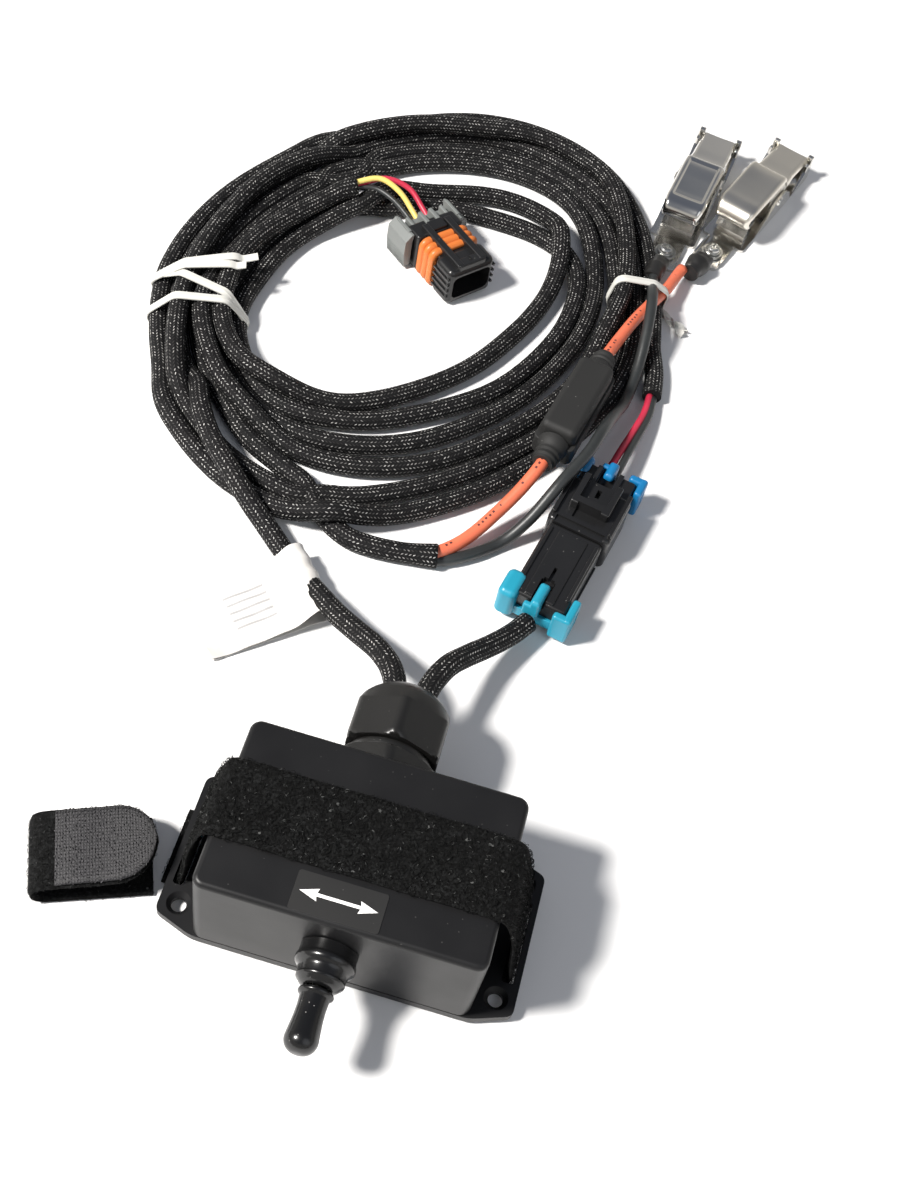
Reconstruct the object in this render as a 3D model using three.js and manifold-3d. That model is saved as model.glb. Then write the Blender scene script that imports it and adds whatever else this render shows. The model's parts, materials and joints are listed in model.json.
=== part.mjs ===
// Hand-held brake controller: a flanged plastic box with a booted toggle, a twin-entry cable gland and a
// hook-and-loop strap, and the sleeved wiring harness that leaves the gland. Millimetres, +Z up, +X to the
// right along the box, +Y to the gland side. The pieces are laid out from the base plate's underside, with
// the floor 2 mm below it, under the strap that passes beneath the plate. The whole group is then lifted, so
// in the finished part Z = 0 is the floor.
import * as THREE from 'three';
import { mergeVertices } from 'three/addons/utils/BufferGeometryUtils.js';
import Module from 'manifold-3d';

const wasm = await Module();
wasm.setup();

// Driving dimensions
const GAP = 0.3; // clearance between pieces that touch
const FLOOR = -2; // from the base plate's underside
const BODY = { width: 85, depth: 55, top: 41, wall: 2.5, corner: 3.5, edge: 1.5 };
const PLATE = { thick: 3, reach: 55, halfDepth: 23, corner: 2 };
const EAR = { holeX: 49, holeY: 19, hole: 2.3, sink: 3.8, slotX: 51.2, slotWidth: 3.8, slotLength: 27 };
const POST = { x: 36.5, y: 21.5, radius: 3.2, pilot: 1.5 };
const GLAND = { x: -1.5, z: 21.5, flats: 29, bore: 8.6, thread: 12.2, pitch: 4.2 };
const TOGGLE = { x: -1, z: 24, pivot: -33, thread: 5.9 };
const SWITCH = { width: 28, height: 15, front: -23.7, back: -7.7, wall: 1.5, contacts: 8 };
const STRAP = { width: 25.4, thick: 1.7 };
const CABLE = 3.8; // sleeved cable radius
const WIRE = { battery: 2.4, inner: 1.3 };
const COIL = { x: -51, y: 251, minor: 82, major: 117, angle: 72, bore: [52, 60], bottom: -1.2, top: 8 };
const MATED = { x: 29, y: 113.5, angle: 78.2, length: 74 };
const FUSE = { x: 24, y: 205, angle: 78.9, length: 44, width: 16 };
const ACTUATOR = { x: -57, y: 287, angle: -41 };
const CLIP = { length: 84, half: 10, sheet: 1.2, pinX: 50, pinZ: 8, padTop: 19 };
const CLIPS = [
  { name: 'clip_negative', x: 42, y: 313, angle: 81.6, roll: 0 },
  { name: 'clip_positive', x: 60, y: 322, angle: 70.6, roll: 0 },
];

const finish = (color, roughness, metalness = 0) => new THREE.MeshStandardMaterial({ color, roughness, metalness });
const FINISH = {
  abs: finish(0x232326, 0.5),
  nylon: finish(0x141416, 0.4),
  rubber: finish(0x0e0e10, 0.35),
  label: finish(0x1b1b1d, 0.6),
  zinc: finish(0xb8b8b4, 0.35, 1),
  chrome: finish(0xd0cdc6, 0.2, 1),
  brass: finish(0xb59a55, 0.35, 1),
  pile: finish(0x161717, 0.95),
  hook: finish(0x2b2a2d, 0.8),
  braid: finish(0x17171a, 0.7),
  teal: finish(0x2da5be, 0.45),
  blue: finish(0x1482c8, 0.45),
  grey: finish(0x787d7d, 0.5),
  seal: finish(0xcd732d, 0.5),
  white: finish(0xe6e4de, 0.6),
  red: finish(0xaf3246, 0.5),
  yellow: finish(0xe1c86e, 0.5),
  orange: finish(0xd76e50, 0.5),
  slate: finish(0x3c4141, 0.55),
};

const root = new THREE.Group();
const degrees = THREE.MathUtils.degToRad;

// A geometry as a manifold solid, and back
function solid(geometry) {
  const bare = geometry.index ? geometry.toNonIndexed() : geometry.clone();
  bare.deleteAttribute('normal');
  bare.deleteAttribute('uv');
  const merged = mergeVertices(bare, 1e-4);
  const vertProperties = new Float32Array(merged.attributes.position.array);
  const triVerts = new Uint32Array(merged.index.array);
  return new wasm.Manifold(new wasm.Mesh({ numProp: 3, vertProperties, triVerts }));
}

function geometryOf(manifold) {
  const mesh = manifold.getMesh();
  const geometry = new THREE.BufferGeometry();
  geometry.setAttribute('position', new THREE.BufferAttribute(mesh.vertProperties, 3));
  geometry.setIndex(new THREE.BufferAttribute(mesh.triVerts, 1));
  return geometry;
}

const joined = (...geometries) => geometryOf(geometries.map(solid).reduce((a, b) => a.add(b)));
const cut = (geometry, ...tools) => geometryOf(tools.map(solid).reduce((a, b) => a.subtract(b), solid(geometry)));

function add(name, geometry, material, parent = root) {
  const mesh = new THREE.Mesh(geometry, material);
  mesh.name = name;
  parent.add(mesh);
  return mesh;
}

function placedGroup(x, y, z, angle, roll = 0) {
  const group = new THREE.Group();
  group.position.set(x, y, z);
  group.rotation.set(degrees(roll), 0, degrees(angle), 'ZYX');
  root.add(group);
  return group;
}

// A block from its lowest to its highest corner
function block(low, high) {
  const size = high.map((value, i) => value - low[i]);
  return new THREE.BoxGeometry(...size).translate(...low.map((value, i) => value + size[i] / 2));
}

// A turned piece about the +Y axis through (x, z): profile rows are [radius, y]
function turnedY(profile, segments, x = 0, z = 0) {
  const points = profile.map(([radius, y]) => new THREE.Vector2(radius, y));
  return new THREE.LatheGeometry(points, segments).translate(x, 0, z);
}

// A turned piece about the +Z axis through (x, y): profile rows are [radius, z]
function turnedZ(profile, segments, x = 0, y = 0) {
  const points = profile.map(([radius, z]) => new THREE.Vector2(radius, z));
  return new THREE.LatheGeometry(points, segments).rotateX(Math.PI / 2).translate(x, y, 0);
}

const rod = (radius, low, high, segments = 16) => [[0, low], [radius, low], [radius, high], [0, high]];
const rodY = (radius, low, high, segments, x, z) => turnedY(rod(radius, low, high), segments, x, z);
const rodZ = (radius, low, high, segments, x, y) => turnedZ(rod(radius, low, high), segments, x, y);

// A flat outline in X and Y with rounded corners, pushed up in Z
function roundedOutline(corners, radius) {
  const shape = new THREE.Shape();
  const count = corners.length;
  corners.forEach((corner, i) => {
    const here = new THREE.Vector2(...corner);
    const before = new THREE.Vector2(...corners[(i + count - 1) % count]).sub(here).setLength(radius).add(here);
    const after = new THREE.Vector2(...corners[(i + 1) % count]).sub(here).setLength(radius).add(here);
    if (i === 0) shape.moveTo(before.x, before.y);
    else shape.lineTo(before.x, before.y);
    shape.quadraticCurveTo(here.x, here.y, after.x, after.y);
  });
  shape.closePath();
  return shape;
}

const rectangle = (halfX, halfY) => [[-halfX, -halfY], [halfX, -halfY], [halfX, halfY], [-halfX, halfY]];

function pushed(shape, low, high, curveSegments = 3) {
  const options = { depth: high - low, bevelEnabled: false, curveSegments };
  return new THREE.ExtrudeGeometry(shape, options).translate(0, 0, low);
}

// A tube of the given radius along hand-set points
function tube(points, radius, sides, steps) {
  const path = new THREE.CatmullRomCurve3(points.map((point) => new THREE.Vector3(...point)));
  const section = new THREE.Shape();
  for (let i = 0; i < sides; i += 1) {
    const turn = (2 * Math.PI * i) / sides;
    const spot = [radius * Math.cos(turn), radius * Math.sin(turn)];
    if (i === 0) section.moveTo(...spot);
    else section.lineTo(...spot);
  }
  section.closePath();
  return new THREE.ExtrudeGeometry(section, { steps, bevelEnabled: false, extrudePath: path });
}

// A flat band of even thickness along [x, z] points, as wide as width in Y
function band(points, thick, width) {
  const left = [];
  const right = [];
  points.forEach(([x, z], i) => {
    const [ax, az] = points[Math.max(i - 1, 0)];
    const [bx, bz] = points[Math.min(i + 1, points.length - 1)];
    const normal = new THREE.Vector2(-(bz - az), bx - ax).setLength(thick / 2);
    left.push(new THREE.Vector2(x + normal.x, z + normal.y));
    right.unshift(new THREE.Vector2(x - normal.x, z - normal.y));
  });
  const shape = new THREE.Shape([...left, ...right]);
  const flat = new THREE.ExtrudeGeometry(shape, { depth: width, bevelEnabled: false });
  return flat.rotateX(Math.PI / 2).translate(0, width / 2, 0);
}

// Base plate: one moulding with two ears, four countersunk mounting holes and two strap slots
function buildBasePlate() {
  const halfX = BODY.width / 2;
  const halfY = BODY.depth / 2;
  const right = [[halfX, -halfY], [PLATE.reach, -PLATE.halfDepth], [PLATE.reach, PLATE.halfDepth], [halfX, halfY]];
  const left = [...right].reverse().map(([x, y]) => [-x, y]);
  const outline = roundedOutline([...right, ...left], PLATE.corner);
  const tools = [];
  for (const sideX of [-1, 1]) {
    const slotX = sideX * EAR.slotX;
    const halfSlot = [EAR.slotWidth / 2, EAR.slotLength / 2];
    tools.push(block([slotX - halfSlot[0], -halfSlot[1], -1], [slotX + halfSlot[0], halfSlot[1], PLATE.thick + 1]));
    for (const sideY of [-1, 1]) {
      const hole = [[0, -1], [EAR.hole, -1], [EAR.hole, 1.6], [EAR.sink, 3.1], [0, 3.1]];
      tools.push(turnedZ(hole, 16, sideX * EAR.holeX, sideY * EAR.holeY));
      const screw = [[0, -0.1], [3.1, -0.1], [POST.pilot, 1.9], [POST.pilot, 4], [0, 4]];
      tools.push(turnedZ(screw, 12, sideX * POST.x, sideY * POST.y));
    }
  }
  add('base_plate', cut(pushed(outline, 0, PLATE.thick), ...tools), FINISH.abs);
}

// Enclosure: a five-sided shell with an eased top edge and four screw posts
function buildEnclosure() {
  const low = PLATE.thick + GAP;
  const halfX = BODY.width / 2;
  const halfY = BODY.depth / 2;
  const inset = rectangle(halfX - BODY.edge, halfY - BODY.edge);
  const options = {
    depth: BODY.top - low, bevelEnabled: true, bevelThickness: BODY.edge, bevelSize: BODY.edge,
    bevelSegments: 2, curveSegments: 3,
  };
  const core = new THREE.ExtrudeGeometry(roundedOutline(inset, BODY.corner - BODY.edge), options);
  const outer = solid(core.translate(0, 0, low - BODY.edge)).trimByPlane([0, 0, 1], low);
  const inner = roundedOutline(rectangle(halfX - BODY.wall, halfY - BODY.wall), 1.5);
  let shell = outer.subtract(solid(pushed(inner, low - 1, BODY.top - BODY.wall)));
  for (const sideX of [-1, 1]) {
    for (const sideY of [-1, 1]) {
      const at = [sideX * POST.x, sideY * POST.y];
      shell = shell.add(solid(rodZ(POST.radius, low, BODY.top - BODY.wall + 1, 12, ...at)));
      shell = shell.subtract(solid(rodZ(POST.pilot, low - 1, low + 14, 10, ...at)));
    }
  }
  shell = shell.subtract(solid(rodY(GLAND.thread + GAP, 20, 40, 24, GLAND.x, GLAND.z)));
  shell = shell.subtract(solid(rodY(TOGGLE.thread + GAP, -40, -20, 20, TOGGLE.x, TOGGLE.z)));
  add('enclosure_box', geometryOf(shell), FINISH.abs);
  let count = 0;
  for (const sideX of [-1, 1]) {
    for (const sideY of [-1, 1]) {
      count += 1;
      const screw = [[0, 0.1], [2.7, 0.1], [1.2, 1.8], [1.2, 14], [0, 14]];
      add(`base_screw_${count}`, turnedZ(screw, 10, sideX * POST.x, sideY * POST.y), FINISH.zinc);
    }
  }
  const label = pushed(roundedOutline(rectangle(13, 6), 1), 0, 0.3, 2);
  add('arrow_label', label, FINISH.label).position.set(-2, -20.2, BODY.top + GAP);
}

// Cable gland: hex body through the rear wall, locknut inside, split seal and domed nut outside
function hexBar(flats, low, high) {
  return new THREE.CylinderGeometry(flats / Math.sqrt(3), flats / Math.sqrt(3), high - low, 6)
    .translate(0, (low + high) / 2, 0);
}

function buildGland() {
  const rear = BODY.depth / 2;
  const group = new THREE.Group();
  group.position.set(GLAND.x, 0, GLAND.z);
  root.add(group);
  const tubeProfile = [[0, rear - 12], [GLAND.thread, rear - 12], [GLAND.thread, rear + 3], [11.4, rear + 3],
    [11.4, rear + 19], [0, rear + 19]];
  const bore = turnedY(rod(GLAND.bore, rear - 20, rear + 30), 20);
  const collar = hexBar(GLAND.flats, rear + GAP, rear + 6.5);
  add('gland_body', cut(joined(turnedY(tubeProfile, 20), collar), bore), FINISH.nylon, group);
  const lockRing = cut(hexBar(GLAND.flats, rear - 7, rear - BODY.wall - GAP),
    turnedY(rod(GLAND.thread + GAP, 0, 60), 20));
  add('gland_locknut', lockRing, FINISH.nylon, group);
  const dome = [[0, rear + 6.8], [18, rear + 6.8], [16.6, rear + 24], [14.5, rear + 29], [11.5, rear + 34.5],
    [10, rear + 35.5], [0, rear + 35.5]];
  const hexNut = solid(hexBar(GLAND.flats, rear + 6, rear + 40)).intersect(solid(turnedY(dome, 24)));
  const nutBore = [[0, 20], [11.7, 20], [11.7, rear + 25], [9.0, rear + 29], [8.9, rear + 40], [0, rear + 40]];
  add('gland_nut', geometryOf(hexNut.subtract(solid(turnedY(nutBore, 20)))), FINISH.nylon, group);
  const seal = turnedY(rod(8.3, rear + 10, rear + 26), 20);
  const hole = (side) => rodY(CABLE + GAP, 0, 60, 12, side * GLAND.pitch, 0);
  add('gland_seal', cut(seal, hole(-1), hole(1)), FINISH.rubber, group);
}

// Toggle: bushing with its frame plate, switch case, see-saw contact, three terminals, lever and boot
function buildToggle() {
  const group = new THREE.Group();
  group.position.set(TOGGLE.x, 0, TOGGLE.z);
  root.add(group);
  const halfWidth = SWITCH.width / 2;
  const halfHeight = SWITCH.height / 2;
  const frameFront = BODY.wall - BODY.depth / 2 + GAP;
  const frame = block([-halfWidth, frameFront, -halfHeight], [halfWidth, SWITCH.front, halfHeight]);
  const barrel = turnedY(rod(TOGGLE.thread, -37.5, SWITCH.front), 20);
  const bore = turnedY([[0, -38], [4.1, -38], [4.1, -35.2], [3.4, -34.6], [3.4, -31], [4.2, -30], [4.2, -20],
    [0, -20]], 16);
  add('toggle_bushing', cut(joined(frame, barrel), bore), FINISH.zinc, group);

  const wall = SWITCH.wall;
  const shell = block([-halfWidth, SWITCH.front + GAP, -halfHeight], [halfWidth, SWITCH.back, halfHeight]);
  const cavity = block([-halfWidth + wall, SWITCH.front - 1, -halfHeight + wall],
    [halfWidth - wall, SWITCH.back - wall, halfHeight - wall]);
  const slots = [-1, 0, 1].map((i) => block([i * SWITCH.contacts - 0.8, -12, -2.8],
    [i * SWITCH.contacts + 0.8, 0, 2.8]));
  add('switch_body', cut(shell, cavity, ...slots), FINISH.nylon, group);
  [-1, 0, 1].forEach((i) => {
    const x = i * SWITCH.contacts;
    const tip = i === 0 ? -13.1 : -11.9;
    const blade = block([x - 0.4, -11, -2.4], [x + 0.4, 1, 2.4]);
    const pad = block([x - 1.4, tip, -2.4], [x + 1.4, -10.6, 2.4]);
    add(`switch_terminal_${i + 2}`, joined(blade, pad), FINISH.brass, group);
  });
  add('rocker_contact', block([-9.5, -14.6, -3], [9.5, -13.4, 3]), FINISH.brass, group);

  const lever = [[0, -15.2], [1.2, -15.2], [1.6, -16.5], [1.6, -30.6], [3, -31.8], [3, -34.2], [2.2, -35.4],
    [2.2, -49.4], [2.8, -50.2], [2.8, -55.2], [2.2, -56], [0, -56]];
  add('toggle_lever', turnedY([...lever].reverse(), 16), FINISH.chrome, group);
  const base = [[6.2, -27.8], [8.8, -27.8], [8.8, -33.5], [7.6, -34.5], [7.2, -37.6], [6.4, -38.6], [4.6, -38.6],
    [4.6, -37.9], [6.2, -37.9]];
  add('boot_base', turnedY([...base, base[0]].reverse(), 20), FINISH.rubber, group);
  const boot = [[0, -58.2], [2.6, -57.9], [4.4, -56.2], [4.9, -53.6], [4.7, -50.6], [4.2, -47.5], [4.3, -40.2],
    [2.6, -40.2], [2.6, -49.1], [3.15, -50], [3.15, -55.6], [2.4, -56.4], [0, -56.4]];
  add('toggle_boot', turnedY(boot, 20), FINISH.rubber, group);
}

// Wires inside the box, from the gland's bore to the switch's terminals
function buildInnerWires() {
  const start = BODY.depth / 2 + 9;
  const finishes = { feed: FINISH.slate, red: FINISH.red, yellow: FINISH.yellow };
  Object.entries(finishes).forEach(([name, material], i) => {
    const x = TOGGLE.x + (i - 1) * SWITCH.contacts;
    const lead = GLAND.x + (i - 1) * 3.4;
    const points = [[x, 2.8, TOGGLE.z], [x, 6, TOGGLE.z - 0.5], [lead, 15, GLAND.z], [lead, start, GLAND.z]];
    add(`inner_wire_${name}`, tube(points, WIRE.inner, 6, 10), material);
  });
}

// Strap: over the top, down through both ear slots; its tail lies out to the left, folded back on itself
function buildStrap() {
  const half = STRAP.thick / 2;
  const top = BODY.top + GAP + half;
  const under = FLOOR + half;
  const edge = BODY.width / 2;
  const path = [[-6, under], [28, under], [48.4, under], [50.4, -0.9], [51.4, 0.3], [51.5, 2.2], [44.2, top - 3],
    [43.2, top - 1.2], [edge - 1.2, top], [0, top], [1.2 - edge, top], [-43.2, top - 1.2], [-44.2, top - 3],
    [-51, 2.2], [-51, 0.3], [-51.9, -0.9], [-53.8, under], [-57, under]];
  add('strap_band', band(path, STRAP.thick, STRAP.width), FINISH.pile);
  const tail = placedGroup(-62.3, -5.5, 0, 22, 0);
  const fold = [[0, under], [-16, under], [-31, under]];
  for (let turn = 1; turn <= 7; turn += 1) {
    const angle = -Math.PI / 2 - (Math.PI * turn) / 7;
    fold.push([-31 + 4.4 * Math.cos(angle), under + 4.4 + 4.4 * Math.sin(angle)]);
  }
  fold.push([-14, under + 9.6], [2, under + 11.4]);
  add('strap_tail', band(fold, STRAP.thick, STRAP.width), FINISH.pile, tail);
  const lift = under + half + GAP + 0.5;
  const pad = [[-27, lift + 9], [-14, lift + 9.6], [2, lift + 11.4]];
  add('strap_hook_pad', band(pad, 0.9, STRAP.width - 1), FINISH.hook, tail);
}

// Cables' free stretches
const LEAD_A = [[-5.7, 57, 21.5], [-7, 66, 21.3], [-15, 72, 18.5], [-27, 76, 14.5], [-37, 86, 9.5], [-48, 98, 5],
  [-58, 110, 2.4], [-70, 124, 1.9], [-75.5, 130.2, 1.9]];
const LEAD_B = [[2.7, 57, 21.5], [3.5, 66, 21.3], [7, 77, 19], [12, 86, 14.5], [18, 95, 10], [24.5, 105, 6.5],
  [28.6, 112.2, 5.5]];
const LEAD_C = [[52, 235, 1.9], [51, 246, 1.9], [48.5, 257, 1.9], [44.2, 267.5, 2.2]];
const LEAD_D = [[-52, 128.4, 1.9], [-42, 128.6, 1.9], [-31, 128, 1.9], [-19, 128.6, 1.9], [-8.6, 131, 1.9]];
const TAIL_A = [[-112, 262, 12.1], [-106, 274, 12.1], [-97, 284.5, 12.1], [-87, 292.5, 12.4]];
const ACTUATOR_WIRES = [[-86.4, 293, 12.6], [-78, 297, 13.4], [-69, 296.5, 12.4], [-61.4, 291.2, 9.6]];
const ORANGE_LOWER = [[-5.4, 133.9, 3.2], [0.5, 143, 3.2], [7, 153, 6.5], [13, 163, 11], [17.7, 173.6, 15.1]];
const ORANGE_UPPER = [[30.3, 236.6, 15.1], [33.5, 250, 12.6], [37.5, 264, 11], [43, 280, 8.5], [47.5, 293, 6],
  [50.2, 304.2, 4]];
const GREY = [[-4.4, 129.2, 0.6], [4, 138, 0.6], [12, 146, 0.6], [19, 154, 7], [26.5, 167, 16.8], [33, 183, 18.4],
  [36, 195, 18.4], [39, 210, 12], [42.2, 226, 5], [43.6, 240, 6], [43.4, 253, 11.5], [42.6, 266, 15.4],
  [41.6, 277, 15], [41, 287, 9.5], [40.8, 297.4, 4]];

function buildCables() {
  add('cable_a_lead', tube(LEAD_A, CABLE, 10, 16), FINISH.braid);
  add('cable_b', tube(LEAD_B, CABLE, 10, 10), FINISH.braid);
  add('cable_c_lead', tube(LEAD_C, CABLE, 10, 5), FINISH.braid);
  add('cable_d_lead', tube(LEAD_D, CABLE, 10, 6), FINISH.braid);
  add('cable_a_tail', tube(TAIL_A, CABLE, 10, 5), FINISH.braid);
  add('actuator_wires', tube(ACTUATOR_WIRES, 2.7, 8, 6), FINISH.yellow);
  add('wire_orange_lower', tube(ORANGE_LOWER, WIRE.battery, 8, 10), FINISH.orange);
  add('wire_orange_upper', tube(ORANGE_UPPER, WIRE.battery, 8, 14), FINISH.orange);
  add('wire_grey', tube(GREY, WIRE.battery - 0.2, 8, 36), FINISH.slate);
}

// Coil: the outer shape of the wound turns, an oval ring, held by two flat ties
function oval(x, y, halfMinor, halfMajor, angle) {
  return [x, y, halfMajor, halfMinor, 0, 2 * Math.PI, false, degrees(angle)];
}

function tieRing(angle, fromX, toX) {
  const frameTie = block([fromX, -2, FLOOR], [toX, 2, COIL.top + 1.2]);
  const hole = block([fromX + 0.7, -3, FLOOR + 0.5], [toX - 0.7, 3, COIL.top + 0.5]);
  return cut(frameTie, hole).rotateZ(degrees(angle));
}

function buildCoil() {
  const outline = new THREE.Shape();
  outline.absellipse(...oval(COIL.x, COIL.y, COIL.minor, COIL.major, COIL.angle));
  const opening = new THREE.Path();
  opening.absellipse(...oval(COIL.x, COIL.y + 3, COIL.bore[0], COIL.bore[1], COIL.angle));
  outline.holes.push(opening);
  add('harness_coil', pushed(outline, COIL.bottom, COIL.top, 32), FINISH.braid);
  const left = add('coil_tie_left', tieRing(-6, -19, 19), FINISH.white);
  left.position.set(-119.5, 236, 0);
  const right = add('coil_tie_right', tieRing(8, -23, 18.6), FINISH.white);
  right.position.set(17.6, 283, 0);
}

// Paper test tag on cable A
function buildTag() {
  const tag = placedGroup(-55, 97.5, 2.2, 49, 0);
  add('paper_tag', block([-33, -12, -0.3], [-6.5, 12, 0.3]), FINISH.white, tag).rotation.set(0, degrees(-6), 0);
}

// Mated two-way connector: socket half on cable B, plug half on the power lead, with their coloured locks
function lockPiece(reach) {
  const bar = block([0, -12, 3], [3, 12, 12]);
  const cheeks = [-1, 1].map((side) => block([0, side * 12.4 - 1.1, 3], [reach, side * 12.4 + 1.1, 13]));
  const finger = block([0, -2.2, 10], [reach - 3, 2.2, 16.4]);
  return cut(joined(bar, ...cheeks, finger), block([3, -11, 0], [reach, 11, 14.4]));
}

function buildMatedConnector() {
  const group = placedGroup(MATED.x, MATED.y, FLOOR, MATED.angle);
  const middle = 38;
  const half = { socket: 10.4, plug: 12.2 };
  const socketBlock = pushed(roundedOutline(rectangle((middle - 3.6) / 2, half.socket), 1.5), 1, 14);
  socketBlock.translate((middle + 3.6) / 2, 0, 0);
  const nose = block([middle - 12, -7, 4], [middle + 4, 7, 12]);
  const noseHole = block([middle - 12 - GAP, -7 - GAP, 4 - GAP], [middle + 4, 7 + GAP, 12 + GAP]);
  add('connector_socket', cut(socketBlock, noseHole), FINISH.nylon, group);
  const plugEnd = MATED.length - 3.3;
  const plugBlock = pushed(roundedOutline(rectangle((plugEnd - middle - GAP) / 2, half.plug - 1.9), 1.5), 0, 14);
  plugBlock.translate((plugEnd + middle + GAP) / 2, 0, 0);
  const shroud = block([middle + GAP, -half.plug, 0], [plugEnd - 9.5, half.plug, 14.4]);
  const bridgeFeet = [-1, 1].map((side) => block([middle + 9, side * 6.6 - 1, 13], [middle + 22, side * 6.6 + 1, 18]));
  const bridge = block([middle + 12, -7.6, 17], [middle + 22, 7.6, 19]);
  add('connector_plug', joined(plugBlock, shroud, nose, bridge, ...bridgeFeet), FINISH.nylon, group);
  add('socket_lock', lockPiece(12), FINISH.teal, group).position.x = GAP;
  const far = add('plug_lock', lockPiece(9), FINISH.blue, group);
  far.position.set(MATED.length, 0, 0);
  far.rotation.z = Math.PI;
  const wires = [[44.4, 188.6, 7], [46.6, 199, 6.6], [49.4, 212, 4.6], [51.6, 224, 2.6], [52, 234.6, 1.9]];
  add('connector_wires', tube(wires, 3.1, 8, 10), FINISH.red);
}

// Fuse holder in the orange battery lead: body with two necks, blade fuse, pull-off cap
function buildFuse() {
  const group = placedGroup(FUSE.x, FUSE.y, COIL.top + GAP, FUSE.angle);
  const halfLength = FUSE.length / 2;
  const halfWidth = FUSE.width / 2;
  const body = block([-halfLength, -halfWidth, 0], [halfLength, halfWidth, 8.5]);
  const axis = 6.8;
  const neck = (low, high) => rodY(5, low, high, 12, 0, 0).rotateZ(-Math.PI / 2).translate(0, 0, axis);
  const well = block([-11, -3.2, 2], [11, 3.2, 20]);
  const shell = joined(body, neck(-halfLength - 9, -halfLength + 2), neck(halfLength - 2, halfLength + 9));
  add('fuse_body', cut(shell, well), FINISH.rubber, group);
  const legs = [-1, 1].map((side) => block([side * 7 - 2.6, -0.5, 2.6], [side * 7 + 2.6, 0.5, 9]));
  add('blade_fuse', joined(block([-9.6, -2.4, 8.8], [9.6, 2.4, 12.6]), ...legs), FINISH.orange, group);
  const cover = block([-halfLength + 2, -halfWidth + 1, 8.5 + GAP], [halfLength - 2, halfWidth - 1, 15]);
  const room = block([-10.4, -3.2, 8], [10.4, 3.2, 13.2]);
  add('fuse_cap', cut(cover, room), FINISH.rubber, group);
}

// Three-way actuator connector: black body, orange ribbed seal, grey terminal lock
function buildActuatorConnector() {
  const group = placedGroup(ACTUATOR.x, ACTUATOR.y, FLOOR, ACTUATOR.angle);
  const outer = block([4.3, -11, 0.5], [36, 11, 17.5]);
  const groove = cut(block([13, -12, -1], [24, 12, 19]), block([12, -9, 2.5], [25, 9, 15.5]));
  const mouth = block([24.5, -9, 4], [37, 9, 14]);
  const bars = [-1, 1].map((side) => block([8, side * 5.2 - 1.2, 17], [34, side * 5.2 + 1.2, 19.6]));
  add('actuator_body', joined(cut(outer, groove, mouth), ...bars), FINISH.nylon, group);
  const sealRing = cut(block([13.4, -11, 0.4], [23.6, 11, 16.7]), block([12, -9 - GAP, 2.2], [25, 9 + GAP, 15.8]));
  add('actuator_seal', sealRing, FINISH.seal, group);
  const comb = block([0, -11, 3], [4, 11, 15]);
  const wings = [-1, 1].map((side) => block([-2, side * 13.4 - 1.8, 1.5], [10, side * 13.4 + 1.8, 16.5]));
  const ties = [-1, 1].map((side) => block([0, side * 11.8 - 1.4, 5], [4, side * 11.8 + 1.4, 13]));
  add('actuator_lock', joined(comb, ...wings, ...ties), FINISH.grey, group);
}

// Battery clip: pressed lower frame with the wire screw, hinged upper jaw with a thumb pad, coil spring
function teeth(lowX, halfWidth, baseZ, tipZ, sheet) {
  const shape = new THREE.Shape();
  const count = 5;
  const pitch = (2 * halfWidth) / count;
  shape.moveTo(-halfWidth, baseZ);
  for (let i = 0; i < count; i += 1) {
    shape.lineTo(-halfWidth + pitch * i, tipZ + (baseZ - tipZ) * 0.3);
    shape.lineTo(-halfWidth + pitch * (i + 0.5), tipZ);
  }
  shape.lineTo(halfWidth, tipZ + (baseZ - tipZ) * 0.3);
  shape.lineTo(halfWidth, baseZ);
  shape.closePath();
  const flat = new THREE.ExtrudeGeometry(shape, { depth: sheet, bevelEnabled: false });
  return flat.rotateX(Math.PI / 2).rotateZ(Math.PI / 2).translate(lowX, 0, 0);
}

function cheek(points, side, distance) {
  const shape = new THREE.Shape(points.map(([x, z]) => new THREE.Vector2(x, z)));
  const flat = new THREE.ExtrudeGeometry(shape, { depth: CLIP.sheet, bevelEnabled: false });
  const y = side > 0 ? distance : CLIP.sheet - distance;
  return flat.rotateX(Math.PI / 2).translate(0, y, 0);
}

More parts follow.
